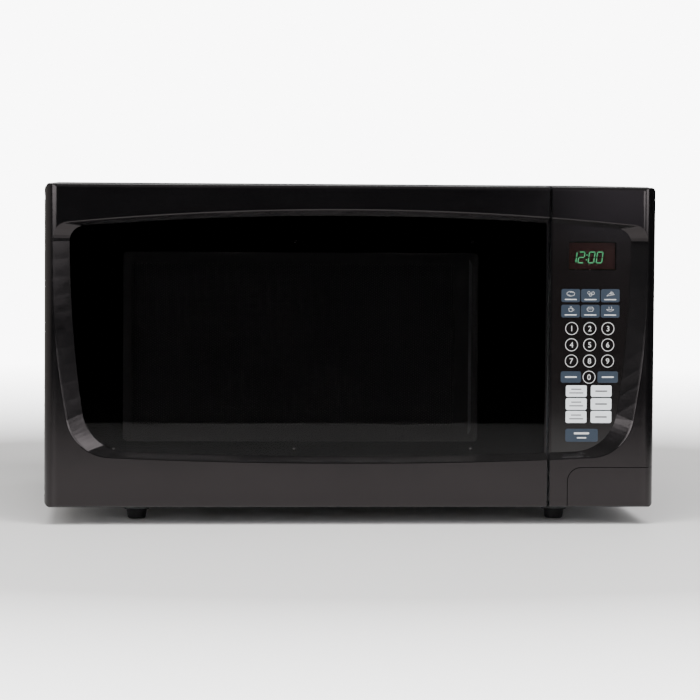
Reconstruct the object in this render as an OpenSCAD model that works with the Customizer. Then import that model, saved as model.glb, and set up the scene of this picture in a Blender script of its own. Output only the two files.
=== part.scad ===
// Countertop microwave oven with a side-hinged door, a membrane keypad and a push button
// that releases the door. Millimetres. X runs to the right, the front faces -Y, Z is up.
// The origin is the centre of the footprint, on the plane of the feet.

/* [Overall] */
// Width over the front moulding
body_w = 553; // [500:1:620]
// Height from the feet to the top of the case
body_h = 307; // [290:1:370]
// Depth from the front face to the back of the case
body_d = 445; // [420:1:540]
// Clearance between the surface below and the front moulding
floor_gap = 16; // [13:0.5:20]

/* [Front moulding] */
// Depth of the door and of the control panel
front_t = 34; // [30:0.5:40]
// Width of the control panel
panel_w = 96; // [88:0.1:115]
// Gap between door and control panel
seam_gap = 2.6; // [1.5:0.1:4]
// Gap between the closed door and the front plate
door_gap = 1; // [0.6:0.1:2]
// Wall of the plastic mouldings
shell_t = 2.8; // [2:0.1:3.5]
// Radius of the upright front edges, seen from above
edge_r = 13; // [6:0.5:14]
// Radius of the top and bottom front edges, seen from the side
lip_r = 3.5; // [1.5:0.5:6]
// Radius of the corners, seen from the front
corner_r = 5.5; // [3:0.5:8]

/* [Recess] */
// Depth of the shared recess in the front face
recess_d = 7; // [4:0.5:9]
// Distance of the recess from the sides of the moulding
recess_side = 6; // [4:0.5:12]
// Distance of the recess from the top of the case
recess_top = 22.7; // [16:0.1:30]
// Distance of the recess from the bottom of the moulding
recess_bottom = 40.7; // [34:0.1:50]
// Width of the sloping band at the sides
band_side = 16.5; // [8:0.5:20]
// Width of the sloping band at the top and bottom
band_top = 5.1; // [3:0.1:8]
// Radius of the crowned top edge of the recess
recess_top_r = 2600; // [1500:50:5000]
// Radius of the crowned bottom edge of the recess
recess_bottom_r = 4800; // [2500:50:8000]
// Radius of the bowed sides of the recess
recess_side_r = 960; // [700:10:2000]
// Corner radius of the recess at the top
recess_corner_top = 17; // [10:1:24]
// Corner radius of the recess at the bottom
recess_corner_bottom = 40; // [25:1:50]

/* [Oven cavity] */
// Width of the cavity inside
cavity_w = 375; // [330:1:390]
// Height of the cavity inside
cavity_h = 228; // [200:1:240]
// Depth of the cavity inside
cavity_d = 385; // [350:1:400]
// Distance from the left side of the case to the cavity
cavity_left = 34.5; // [30:0.5:45]
// Height of the cavity floor above the feet
cavity_floor = 43; // [42:0.5:50]
// Corner radius of the cavity
cavity_r = 9; // [4:1:16]
// Thickness of the steel sheet
sheet = 0.8; // [0.6:0.1:1.2]

/* [Turntable] */
// Diameter of the glass tray
tray_d = 340; // [280:5:345]
// Radius of the circle that the roller wheels run on
roller_track_r = 106; // [80:1:125]
// Diameter of the roller wheels
wheel_d = 16.4; // [14:0.1:18]
// Gap between wheel and floor, and between wheel and tray
wheel_gap = 0.3; // [0.2:0.1:0.5]

/* [Door] */
// Width of the perforated area
screen_w = 293; // [240:1:300]
// Height of the perforated area
screen_h = 149; // [130:1:165]
// Distance from the left side of the moulding to the perforated area
screen_left = 78.5; // [70:0.5:90]
// Height of the lower edge of the perforated area above the feet
screen_bottom = 89; // [85:0.5:100]
// Thickness of the window
window_t = 3; // [2:0.1:3.5]
// Radius of the hinge pins
hinge_pin_r = 3; // [2.5:0.1:4]
// Distance of the hinge axis from the left side
hinge_side = 11; // [9:0.5:12]
// Distance of the hinge axis from the back of the door
hinge_back = 15; // [14:0.5:16]

/* [Door release] */
// Travel of the door-open button
button_travel = 5; // [3:0.5:6]
// Width of the door-open button
button_w = 80; // [60:0.1:82]
// Height of the door-open button
button_h = 36.6; // [28:0.1:40]
// Corner radius of the door-open button
button_r = 13; // [6:0.5:16]
// Gap round the door-open button
button_gap = 0.6; // [0.4:0.1:1]
// Distance from the lever axis down to the push rod
lever_arm = 25; // [22:1:28]
// Distance from the lever axis back to the end of the lifting arm
lever_reach = 15.5; // [14:0.5:17]

/* [Display] */
// Width of the display lens
lens_w = 43.4; // [30:0.1:50]
// Height of the display lens
lens_h = 25.5; // [18:0.1:30]
// Distance from the top of the case to the display lens
lens_top = 50.1; // [46:0.1:60]

/* [Cooling] */
// Radius of the fan blade
fan_r = 46; // [38:1:48]
// Number of vanes on the fan
fan_vanes = 7; // [5:1:9]

/* [Fits] */
// Radial clearance of a running shaft
run_fit = 0.06; // [0.03:0.01:0.1]
// Clearance between parts that are laid into each other
lay_gap = 0.2; // [0.1:0.05:0.4]
// Clearance between parts that move past each other
move_gap = 0.5; // [0.3:0.1:1]

/* [Hidden] */
$fn = 48;

// A cut reaches this far past the face that it opens
over = 1;
// The top of the front moulding sits this far below the top of the case
moulding_drop = 0.5;
// Height of the screw heads on the back
rear_head_h = 2;
// The case is this much narrower than the moulding on each side
case_inset = 0.8;

left = -body_w / 2;
right = body_w / 2;
y_front = -body_d / 2;
y_rear = body_d / 2 - rear_head_h;
moulding_top = body_h - moulding_drop;
y_door_back = y_front + front_t;
y_plate = y_door_back + door_gap;
y_behind_plate = y_plate + sheet;
y_recess = y_front + recess_d;
y_window_back = y_recess + window_t;

door_right = right - panel_w - seam_gap;
panel_left = right - panel_w;

case_bottom = floor_gap + 1.5;
base_t = 1;
base_z = case_bottom + sheet;
base_top = base_z + base_t;

cavity_x0 = left + cavity_left;
cavity_x1 = cavity_x0 + cavity_w;
cavity_y1 = y_behind_plate + cavity_d;
cavity_z1 = cavity_floor + cavity_h;
bay_left = cavity_x1 + sheet;
bay_right = right - case_inset - sheet;

tray_x = (cavity_x0 + cavity_x1) / 2;
tray_y = (y_behind_plate + cavity_y1) / 2;
tray_z = cavity_floor + wheel_d + 2 * wheel_gap;
tray_t = 5;

screen_x0 = left + screen_left;
screen_x1 = screen_x0 + screen_w;
screen_z1 = screen_bottom + screen_h;

hinge_x = left + hinge_side;
hinge_y = y_door_back - hinge_back;

button_x0 = right - button_w;
button_z1 = floor_gap + button_h;

// Outline of the recess: half width, height of the widest place, side radius, top, top
// radius, bottom, bottom radius, upper and lower corner radius
recess_wide_z = body_h - 46;
recess_rim = [body_w / 2 - recess_side, recess_wide_z, recess_side_r,
              body_h - recess_top, recess_top_r, floor_gap + recess_bottom, recess_bottom_r,
              recess_corner_top, recess_corner_bottom];
recess_floor = recess_rim + [-band_side, 0, 140, -band_top, 300, band_top, 0, -3, 0];

function grow(s, e) = s + [e, 0, e, e, e, -e, e, e, e];
function blend(a, b, t) = a + (b - a) * t;

// The +X meeting point of two circles
function meet(c1, r1, c2, r2) =
    let (d = norm(c2 - c1), u = (c2 - c1) / d, a = (r1 * r1 - r2 * r2 + d * d) / (2 * d),
         h = sqrt(r1 * r1 - a * a), p = c1 + a * u + h * [-u.y, u.x],
         q = c1 + a * u - h * [-u.y, u.x])
    p.x > q.x ? p : q;
function angle_to(c, p) = atan2(p.y - c.y, p.x - c.x);
function arc(c, r, a0, a1, n) =
    [for (i = [0 : n - 1]) let (a = a0 + (a1 - a0) * i / n) c + r * [cos(a), sin(a)]];

// The right half of the outline, from the top centre clockwise to the bottom centre
function half_outline(s) =
    let (top_c = [0, s[3] - s[4]], bottom_c = [0, s[5] + s[6]], side_c = [s[0] - s[2], s[1]],
         f1 = meet(top_c, s[4] - s[7], side_c, s[2] - s[7]),
         f2 = let (u = [bottom_c, s[6] - s[8]], v = [side_c, s[2] - s[8]],
                   d = norm(v[0] - u[0]), w = (v[0] - u[0]) / d,
                   a = (u[1] * u[1] - v[1] * v[1] + d * d) / (2 * d),
                   h = sqrt(u[1] * u[1] - a * a))
              u[0] + a * w + h * [-w.y, w.x],
         a_top = angle_to(top_c, f1), a_side1 = angle_to(side_c, f1),
         a_side2 = angle_to(side_c, f2), a_bottom = angle_to(bottom_c, f2))
    concat(arc(top_c, s[4], 90, a_top, 12), arc(f1, s[7], a_top, a_side1, 8),
           arc(side_c, s[2], a_side1, a_side2, 10), arc(f2, s[8], a_side2, a_bottom, 14),
           arc(bottom_c, s[6], a_bottom, -90, 12), [[0, s[5]]]);
function outline(s) =
    let (h = half_outline(s), n = len(h))
    concat(h, [for (i = [n - 2 : -1 : 1]) [-h[i].x, h[i].y]]);

// Parts of the wall behind the recess
ledge_t = 2.5;
y_ledge = y_window_back + ledge_t;
overlay_t = 0.5;
y_panel_wall = y_recess + overlay_t + ledge_t;

module span(a, b) { translate(a) cube(b - a); }
module along_y(y0, y1) { translate([0, y1, 0]) rotate([90, 0, 0]) linear_extrude(y1 - y0) children(); }
module along_x(x0, x1) { translate([x0, 0, 0]) rotate([90, 0, 90]) linear_extrude(x1 - x0) children(); }
module along_z(z0, z1) { translate([0, 0, z0]) linear_extrude(z1 - z0) children(); }
module rod_x(p, l, r) { translate(p) rotate([0, 90, 0]) cylinder(h = l, r = r); }
module rod_y(p, l, r) { translate(p) rotate([-90, 0, 0]) cylinder(h = l, r = r); }
module rod_z(p, l, r) { translate(p) cylinder(h = l, r = r); }

// A rectangle from corner a to corner b with round corners
module round_rect(a, b, r) {
    translate([a.x + r, a.y]) square([b.x - a.x - 2 * r, b.y - a.y]);
    translate([a.x, a.y + r]) square([b.x - a.x, b.y - a.y - 2 * r]);
    for (x = [a.x + r, b.x - r], y = [a.y + r, b.y - r]) translate([x, y]) circle(r);
}

// A coil spring along +Z from z = 0, of closed round wire
module spring(coil_r, wire_r, l, turns) {
    sides = 6;
    steps = 14;
    n = turns * steps;
    points = [for (i = [0 : n], k = [0 : sides - 1])
        let (a = 360 * i / steps, b = 360 * k / sides, r = coil_r + wire_r * cos(b))
        [r * cos(a), r * sin(a), wire_r + (l - 2 * wire_r) * i / n + wire_r * sin(b)]];
    faces = concat([[for (k = [0 : sides - 1]) k]],
                   [[for (k = [sides - 1 : -1 : 0]) n * sides + k]],
                   [for (i = [0 : n - 1], k = [0 : sides - 1])
                       let (m = (k + 1) % sides)
                       [i * sides + k, (i + 1) * sides + k, (i + 1) * sides + m, i * sides + m]]);
    polyhedron(points, faces);
}

// A pan-head screw whose head sits on z = 0 and whose shank points down
module screw(head_r, head_h, shank_r, l) {
    difference() {
        union() {
            rotate_extrude() polygon([[0, 0], [head_r, 0], [head_r, head_h * 0.5],
                                      [head_r * 0.7, head_h], [0, head_h]]);
            translate([0, 0, -l]) cylinder(h = l + 0.01, r = shank_r);
        }
        for (a = [0, 90]) rotate([0, 0, a])
            translate([-head_r * 0.55, -head_r * 0.1, head_h * 0.45])
                cube([head_r * 1.1, head_r * 0.2, head_h]);
    }
}

// ---- Front moulding, shared by door, control panel and button -------------------------

// The whole moulding, drawn in by s on every outer face. Its back is open beyond y1.
module moulding(s, x0, x1, y1) {
    intersection() {
        along_y(y_front + s, y1)
            round_rect([left + s, floor_gap + s], [right - s, moulding_top - s],
                       max(corner_r - s, 0.6));
        along_z(floor_gap - over, body_h + over) difference() {
            translate([x0, y_front + s]) square([x1 - x0, y1 - y_front - s]);
            for (side = [-1, 1]) mirror([side < 0 ? 1 : 0, 0]) difference() {
                translate([right - edge_r, y_front + s - over]) square([edge_r + over, edge_r + over - s]);
                translate([right - edge_r, y_front + edge_r]) circle(edge_r - s);
            }
        }
        along_x(left - over, right + over) difference() {
            translate([y_front + s, floor_gap - over]) square([y1 - y_front - s, body_h]);
            for (z = [floor_gap + lip_r, moulding_top - lip_r])
                let (up = z > body_h / 2) difference() {
                    translate([y_front + s - over, up ? z : z - lip_r - over])
                        square([lip_r + over - s, lip_r + over]);
                    translate([y_front + lip_r, z]) circle(max(lip_r - s, 0.4));
                }
        }
    }
}

// The shared recess: a rounded rim, a sloping band and a flat floor
module recess() {
    rim_r = 1.1;
    rings = concat(
        [[grow(recess_rim, rim_r), -over]],
        [for (a = [0, 30, 60]) [grow(recess_rim, rim_r * (1 - sin(a))), rim_r * (1 - cos(a)) * 0.6]],
        [[blend(recess_rim, recess_floor, 0.06), rim_r * 0.6 + 0.15],
         [recess_floor, recess_d]]);
    loops = [for (r = rings) [for (p = outline(r[0])) [p.x, y_front + r[1], p.y]]];
    n = len(loops[0]);
    m = len(loops);
    mid_z = (recess_rim[3] + recess_rim[5]) / 2;
    points = concat([for (l = loops, p = l) p],
                    [[0, y_front - over, mid_z], [0, y_front + recess_d, mid_z]]);
    faces = concat(
        [for (j = [0 : n - 1]) [j, (j + 1) % n, n * m]],
        [for (j = [0 : n - 1]) [(m - 1) * n + (j + 1) % n, (m - 1) * n + j, n * m + 1]],
        [for (i = [0 : m - 2], j = [0 : n - 1])
            let (k = (j + 1) % n) each [[i * n + k, i * n + j, (i + 1) * n + k],
                                        [(i + 1) * n + k, i * n + j, (i + 1) * n + j]]]);
    polyhedron(points, faces);
}

// A plate of the recess floor's outline, drawn in by s
module recess_plate(s, y0, y1) { along_y(y0, y1) polygon(outline(grow(recess_floor, -s))); }

// ---- Door ------------------------------------------------------------------------------

door_edge_t = 1.6;
frame_open_margin = 8;
screw_boss_r = 4;
screw_hole_r = 1.3;
door_screw_x = [screen_x0 - 16, (screen_x0 + screen_x1) / 2, screen_x1 + 14];
door_screw_z = [screen_bottom - 20, screen_z1 + 18];
pan_t = 1;
y_pan = y_door_back - 16.5;
y_choke = y_door_back - 1.5;
ear_t = 2.5;
ear_w = 10;
ear_gap = 1;
tab_t = 2;
tab_top_z = moulding_top - 16.5;
tab_bottom_z = floor_gap + 14.5;
hook_x = door_right - 19.7;
hook_w = 5;
hook_low_z = floor_gap + 46;
hook_high_z = body_h - 73;
hook_h = 9;
hook_drop = 3;
y_hook_bar = y_door_back - 15.5;
y_hook_tip = y_plate + 26.5;
hook_bar_top = hook_high_z + hook_h + 4;
spring_room = 18;
spring_seat_w = 12;

// The rounded back edge at the hinge side, concentric with the hinge axis
module hinge_side_cut(s) {
    difference() {
        span([left - over, hinge_y, 0], [hinge_x, y_door_back + 2 * over, body_h + over]);
        rod_z([hinge_x, hinge_y, -over], body_h + 3 * over, hinge_back - s);
    }
}

// Slot that lets the fixed hinge ear pass the wall of the turning door
module ear_slot(z0) {
    span([left - over, hinge_y - 9, z0 - ear_gap],
         [hinge_x + ear_w / 2 + 1.5, y_door_back + over, z0 + ear_t + ear_gap]);
}

module door_frame() color("#17171b") {
    opening = [[screen_x0 - frame_open_margin, screen_bottom - 14],
               [screen_x1 + 20, screen_z1 + frame_open_margin]];
    difference() {
        moulding(0, left - over, door_right, y_door_back);
        hinge_side_cut(0);
        recess();
        intersection() {
            recess_plate(0, y_recess - 0.01, y_window_back);
            span([left, y_front, 0], [door_right - door_edge_t, y_door_back, body_h]);
        }
        along_y(y_recess, y_ledge + over) round_rect(opening[0], opening[1], 4);
        difference() {
            moulding(shell_t, left - over, door_right - shell_t, y_door_back + over);
            hinge_side_cut(shell_t);
            along_y(y_front, y_ledge) polygon(outline(grow(recess_rim, 2)));
            for (x = door_screw_x, z = door_screw_z)
                rod_y([x, y_ledge - 1, z], y_pan - y_ledge + 1 - lay_gap, screw_boss_r);
            // Guides of the latch hooks
            for (z = [hook_low_z + 30, hook_bar_top - 20], side = [-1, 1])
                translate([hook_x + side * (hook_w / 2 + move_gap + 1) - 1, y_ledge - 1, z])
                    cube([2, y_door_back - 7 - y_ledge + 1, 12]);
            // Seat of the latch spring
            span([hook_x - spring_seat_w / 2, y_ledge - 1, hook_bar_top + spring_room],
                 [hook_x + spring_seat_w / 2, y_door_back - 5, hook_bar_top + spring_room + 3]);
        }
        for (x = door_screw_x, z = door_screw_z)
            rod_y([x, y_pan - 7.5, z], 9, screw_hole_r);
        ear_slot(tab_top_z + tab_t + ear_gap);
        ear_slot(tab_bottom_z - ear_gap - ear_t);
    }
}

module door_window() color("#0b0b0d") {
    intersection() {
        recess_plate(lay_gap, y_recess, y_window_back);
        span([left, y_front, 0], [door_right - door_edge_t - lay_gap, y_door_back, body_h]);
    }
}

pan_left = hinge_x + ear_w / 2 + 1.5;
pan_right = min(cavity_x1 + 22, hook_x - spring_seat_w / 2 - move_gap);
pan_bottom = cavity_floor - 20;
pan_top = cavity_z1 + 22;
screen_margin = 8;
pan_open = [[screen_x0 - screen_margin, screen_bottom - screen_margin],
            [screen_x1 + screen_margin, screen_z1 + screen_margin]];
screen_t = 0.6;
film_t = 0.5;
tab_r = 5.6;

module hinge_tab(z) {
    difference() {
        union() {
            rod_z([hinge_x, hinge_y, z], tab_t, tab_r);
            span([hinge_x, hinge_y - tab_r, z], [pan_left + 12, hinge_y + tab_r, z + tab_t]);
        }
        rod_z([hinge_x, hinge_y, z - over], tab_t + 2 * over, hinge_pin_r + run_fit);
    }
}

module door_pan() color("#9a9b9d") {
    wall_in = 18;
    difference() {
        along_y(y_pan, y_choke) round_rect([pan_left, pan_bottom], [pan_right, pan_top], 6);
        difference() {
            along_y(y_pan + pan_t, y_door_back)
                round_rect([pan_left + pan_t, pan_bottom + pan_t],
                           [pan_right - pan_t, pan_top - pan_t], 5);
            // Inner wall of the choke
            difference() {
                along_y(y_pan, y_choke - 1)
                    round_rect([pan_left + wall_in, pan_bottom + wall_in],
                               [pan_right - wall_in, pan_top - wall_in], 5);
                along_y(y_pan - over, y_door_back)
                    round_rect([pan_left + wall_in + pan_t, pan_bottom + wall_in + pan_t],
                               [pan_right - wall_in - pan_t, pan_top - wall_in - pan_t], 4);
            }
        }
        along_y(y_pan - over, y_pan + 2 * over) round_rect(pan_open[0], pan_open[1], 4);
        for (x = door_screw_x, z = door_screw_z) rod_y([x, y_pan - over, z], 4, 1.8);
    }
    hinge_tab(tab_top_z);
    hinge_tab(tab_bottom_z);
}

module door_screen() color("#2a2a2a") {
    along_y(y_pan - screen_t, y_pan)
        round_rect(pan_open[0] - [4, 4], pan_open[1] + [4, 4], 4);
}

module door_inner_film() color("#c9ccce") {
    along_y(y_pan + pan_t, y_pan + pan_t + film_t)
        round_rect(pan_open[0] - [3, 3], pan_open[1] + [3, 3], 4);
}

module choke_cover() color("#3a3a3d") {
    inner = [[pan_left + 22, pan_bottom + 22], [pan_right - 22, pan_top - 22]];
    lip = 1.5;
    difference() {
        union() {
            along_y(y_choke, y_door_back)
                round_rect([pan_left, pan_bottom], [pan_right, pan_top], 6);
            along_y(y_choke - 9, y_choke + 0.01) round_rect(inner[0] - [lip, lip], inner[1] + [lip, lip], 6);
        }
        along_y(y_pan, y_door_back + over) round_rect(inner[0], inner[1], 5);
    }
}

module door_screws() color("#b9bbbd") {
    for (x = door_screw_x, z = door_screw_z)
        translate([x, y_pan + pan_t, z]) rotate([-90, 0, 0]) screw(3.2, 1.8, screw_hole_r, 7);
}

module latch_hooks() color("#e6e6e2") {
    x0 = hook_x - hook_w / 2;
    span([x0, y_hook_bar, hook_low_z], [x0 + hook_w, y_hook_bar + 6, hook_bar_top]);
    for (z = [hook_low_z, hook_high_z]) {
        span([x0, y_hook_bar, z], [x0 + hook_w, y_hook_tip, z + hook_h]);
        along_x(x0, x0 + hook_w)
            polygon([[y_hook_tip - 5, z + 0.01], [y_hook_tip - 5, z - hook_drop],
                [y_hook_tip - 2, z - hook_drop],
                     [y_hook_tip, z + 0.01]]);
    }
}

module latch_spring() color("#c4c6c8") {
    translate([hook_x, y_hook_bar + 3, hook_bar_top]) spring(2.4, 0.35, spring_room, 7);
}

// ---- Door release ----------------------------------------------------------------------

lever_y = y_hook_tip - lever_reach - 0.5 + 3;
lever_hub_r = 4;
lever_z = hook_low_z - hook_drop - lever_hub_r - 0.6;
lever_pin_r = 2.5;
rod_end_z = lever_z - lever_arm;
push_x = button_x0 + 6;
arm_t = 3;
bracket_t = 2.2;
bracket_depth = 36;
bracket_x0 = bay_left + 16;
bracket_x1 = hook_x + 15;
hook_slot = [[hook_x - 4.5, hook_low_z - hook_drop - 2], [hook_x + 6, hook_low_z + hook_h + 5]];
hook_rise = hook_high_z - hook_low_z;

module latch_bracket() color("#d8d7d0") {
    z1 = hook_high_z + hook_h + 12;
    back = y_behind_plate;
    difference() {
        union() {
            span([bracket_x0, back, rod_end_z + 12], [bracket_x1, back + bracket_t, z1]);
            // Side walls that carry the switches
            for (x = [bracket_x0, bracket_x1 - bracket_t])
                span([x, back, hook_low_z + 18], [x + bracket_t, back + bracket_depth, z1]);
            // Ears of the lever shaft
            for (x = [bracket_x0, push_x + 6])
                span([x, back, lever_z - 7], [x + bracket_t, lever_y + 6, lever_z + 7]);
            // Strip that carries the outer ear
            span([bracket_x1 - 1, back, lever_z - 7],
                [push_x + 6 + bracket_t, back + bracket_t, lever_z + 7]);
            // Shelves between the walls
            for (z = [hook_low_z + 40, hook_high_z - 14])
                span([bracket_x0, back, z], [bracket_x1, back + bracket_depth, z + bracket_t]);
        }
        for (dz = [0, hook_rise])
            span([hook_slot[0].x, back - over, hook_slot[0].y + dz],
                 [hook_slot[1].x, back + bracket_t + over, hook_slot[1].y + dz]);
        rod_x([bracket_x0 - over, lever_y, lever_z], push_x + 20 - bracket_x0, lever_pin_r + run_fit);
        span([push_x - 6, back - over, rod_end_z - 8], [push_x + 5.5, back + 4, lever_z - 3]);
    }
}

module release_lever() color("#e2e1da") {
    arm_w = 6;
    x0 = bracket_x0 - 1;
    x1 = push_x + 6 + bracket_t + 1;
    rod_x([x0, lever_y, lever_z], x1 - x0, lever_pin_r);
    // Lifting arm under the lower hook
    span([hook_x - arm_w / 2, lever_y, lever_z],
         [hook_x + arm_w / 2, lever_y + lever_reach, hook_low_z - hook_drop - move_gap * 0.6]);
    // Arm that the button pushes
    span([push_x - arm_w / 2, lever_y - arm_t / 2, rod_end_z - 4],
         [push_x + arm_w / 2, lever_y + arm_t / 2, lever_z]);
    for (x = [hook_x, push_x]) rod_x([x - arm_w / 2, lever_y, lever_z], arm_w, lever_hub_r);
}

module door_switches() color("#2b4a8a") {
    w = 6.5;
    h = 16;
    l = 28;
    x = bracket_x1 + lay_gap;
    for (z = [hook_low_z + 22, hook_low_z + 52, hook_high_z - 12]) {
        difference() {
            span([x, y_behind_plate + 7, z], [x + w, y_behind_plate + 7 + l, z + h]);
            for (y = [12, 29]) rod_x([x - over, y_behind_plate + y, z + 4], w + 2 * over, 1.5);
        }
        span([x + 2, y_behind_plate + 4.5, z + 9], [x + 4.5, y_behind_plate + 7.1, z + 12]);
        for (y = [10, 20, 30])
            span([x + 2.8, y_behind_plate + y, z + h - 0.1],
                [x + 3.6, y_behind_plate + y + 4.7, z + h + 7]);
    }
}

button_depth = 26;
spring_x = right - 34;
spring_z = floor_gap + 18;
button_spring_len = y_plate - (y_front + shell_t + 6);

// Front outline of the button, drawn in by s
module button_outline(s) {
    x0 = button_x0 + s;
    z1 = button_z1 - s;
    r = button_r - s;
    translate([x0, 0]) square([right - x0 + over, z1 - r]);
    translate([x0 + r, 0]) square([right - x0 - r + over, z1]);
    translate([x0 + r, z1 - r]) circle(r);
}

module open_button() color("#1d1c1e") {
    y_back = y_front + button_depth;
    difference() {
        intersection() {
            moulding(0, panel_left, right + over, y_back);
            along_y(y_front - over, y_back) button_outline(button_gap);
        }
        intersection() {
            moulding(shell_t, panel_left, right + over, y_back + over);
            along_y(y_front, y_back + over) button_outline(button_gap + shell_t);
        }
    }
    // Push rod with a round nose
    span([push_x - 2, y_front + 1, rod_end_z - 3],
        [push_x + 2, lever_y - arm_t / 2 - move_gap * 0.6 - 1.5, rod_end_z + 3]);
    rod_x([push_x - 2, lever_y - arm_t / 2 - move_gap * 0.6 - 1.5, rod_end_z], 4, 1.5);
    // Seat of the spring
    rod_y([spring_x, y_front + 1, spring_z], shell_t + 5, 8);
}

module button_spring() color("#c4c6c8") {
    translate([spring_x, y_front + shell_t + 6, spring_z]) rotate([-90, 0, 0])
        spring(5.5, 0.45, button_spring_len, 7);
}

// ---- Hinges ----------------------------------------------------------------------------

module hinge(ear_z, pin_down) {
    leg = 26;
    pin_l = ear_gap + tab_t + 2;
    leg_z0 = pin_down ? ear_z - leg + ear_t : ear_z;
    difference() {
        span([hinge_x - ear_w / 2 - 3, y_behind_plate, leg_z0],
             [hinge_x + ear_w / 2 + 8, y_behind_plate + 2, leg_z0 + leg]);
        for (z = [leg_z0 + 6, leg_z0 + leg - 6])
            rod_y([hinge_x + ear_w / 2 + 4, y_behind_plate - over, z], 4, 1.6);
    }
    span([hinge_x - ear_w / 2, hinge_y, ear_z], [hinge_x + ear_w / 2, y_behind_plate + 1, ear_z + ear_t]);
    rod_z([hinge_x, hinge_y, ear_z], ear_t, ear_w / 2);
    rod_z([hinge_x, hinge_y, pin_down ? ear_z - pin_l : ear_z + ear_t - 0.01], pin_l + 0.01, hinge_pin_r);
}

upper_ear_z = tab_top_z + tab_t + ear_gap;
lower_ear_z = tab_bottom_z - ear_gap - ear_t;

module hinge_upper() color("#a7a9ab") hinge(upper_ear_z, true);
module hinge_lower() color("#a7a9ab") hinge(lower_ear_z, false);

// ---- Chassis ---------------------------------------------------------------------------

board_open = [[panel_left + 8, button_z1 + 16], [right - 12, body_h - 14]];

module front_plate() color("#8f9193") {
    difference() {
        along_y(y_plate, y_behind_plate)
            round_rect([left + case_inset + sheet + lay_gap, base_top],
                       [bay_right - lay_gap, body_h - sheet - lay_gap], 2);
        along_y(y_plate - over, y_behind_plate + over)
            round_rect([cavity_x0, cavity_floor], [cavity_x1, cavity_z1], cavity_r);
        along_y(y_plate - over, y_behind_plate + over) round_rect(board_open[0], board_open[1], 4);
        for (dz = [0, hook_rise])
            span([hook_slot[0].x, y_plate - over, hook_slot[0].y + dz],
                 [hook_slot[1].x, y_behind_plate + over, hook_slot[1].y + dz]);
        span([push_x - 6, y_plate - over, rod_end_z - 7],
            [push_x + 6, y_behind_plate + over, rod_end_z + 7]);
        for (z = [upper_ear_z, lower_ear_z])
            span([hinge_x - ear_w / 2 - lay_gap, y_plate - over, z - lay_gap],
                 [hinge_x + ear_w / 2 + lay_gap, y_behind_plate + over, z + ear_t + lay_gap]);
    }
}

lamp_y = y_behind_plate + 62;
lamp_z = cavity_z1 - 30;
guide_y0 = tray_y - 40;
guide_y1 = tray_y + 70;
guide_z0 = cavity_floor + cavity_h * 0.5;
guide_z1 = guide_z0 + 94;
guide_depth = 36;
feed_margin = 8;

module cavity() color("#cfd0cc") {
    back = cavity_y1 + sheet;
    vent_rows = 5;
    vent_columns = 9;
    vent_pitch = 9;
    difference() {
        along_y(y_behind_plate, back)
            round_rect([cavity_x0 - sheet, cavity_floor - sheet],
                       [cavity_x1 + sheet, cavity_z1 + sheet], cavity_r + sheet);
        along_y(y_behind_plate - over, cavity_y1)
            round_rect([cavity_x0, cavity_floor], [cavity_x1, cavity_z1], cavity_r);
        // Hole of the turntable shaft
        rod_z([tray_x, tray_y, cavity_floor - sheet - over], 3 * over, 9);
        // Feed opening of the waveguide
        span([cavity_x1 - over, guide_y0 + feed_margin + 30, guide_z0 + feed_margin],
             [cavity_x1 + sheet + over, guide_y1 - feed_margin, guide_z1 - feed_margin - 10]);
        // Lamp perforation
        for (i = [-2 : 2], k = [-1 : 1])
            rod_x([cavity_x1 - over, lamp_y + i * 4.5, lamp_z + k * 4.5], 3 * over, 1.5);
        // Air outlet in the left wall
        for (i = [0 : vent_columns - 1], k = [0 : vent_rows - 1])
            rod_x([cavity_x0 - 2 * over, cavity_y1 - 40 - i * vent_pitch, cavity_z1 - 25 - k * vent_pitch],
                  3 * over, 2);
    }
}

slot_w = 3;
slot_l = 34;
slot_pitch = 8;

module vent_slots_x(x, y0, z0, columns, rows) {
    for (i = [0 : columns - 1], k = [0 : rows - 1])
        span([x - over, y0 + i * slot_pitch, z0 + k * (slot_l + 8)],
             [x + sheet + over, y0 + i * slot_pitch + slot_w, z0 + k * (slot_l + 8) + slot_l]);
}

flange = 14;
case_r = 3;
case_x = right - case_inset;

module outer_case() color("#1b1b1d") {
    difference() {
        along_y(y_plate, y_rear) union() {
            round_rect([-case_x, case_bottom], [case_x, body_h], case_r);
            translate([-case_x, case_bottom]) square([2 * case_x, case_r]);
        }
        along_y(y_plate - over, y_rear - sheet) union() {
            round_rect([-case_x + sheet, base_z], [case_x - sheet, body_h - sheet], case_r - sheet);
            translate([-case_x + sheet, base_z]) square([2 * (case_x - sheet), case_r]);
        }
        // Rear opening inside the return flange
        span([-case_x + flange, y_rear - sheet - over, case_bottom - over],
             [case_x - flange, y_rear + over, body_h - flange]);
        // The bottom is open between the two turned-in edges
        span([-case_x + flange, y_plate - over, case_bottom - over],
             [case_x - flange, y_rear + over, base_z + over]);
        // Air inlet on the right, air outlet on the left
        vent_slots_x(case_x - sheet, y_rear - 150, body_h - 130, 12, 2);
        vent_slots_x(-case_x, y_rear - 110, body_h - 88, 9, 1);
        for (x = [-rear_screw_x, rear_screw_x], z = rear_screw_z)
            rod_y([x, y_rear - 2 * sheet, z], 4 * sheet, 1.6);
    }
}

fan_x = (bay_left + bay_right) / 2 + 2;
fan_z = guide_z0 + 48;
fan_y = y_rear - sheet - sheet - 21;
grommet_x = fan_x + 24;
grommet_z = base_top + 26;
grommet_r = 9;
rear_screw_x = case_x - flange / 2;
rear_screw_z = [base_top + 22, body_h * 0.5, body_h - 24];

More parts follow.
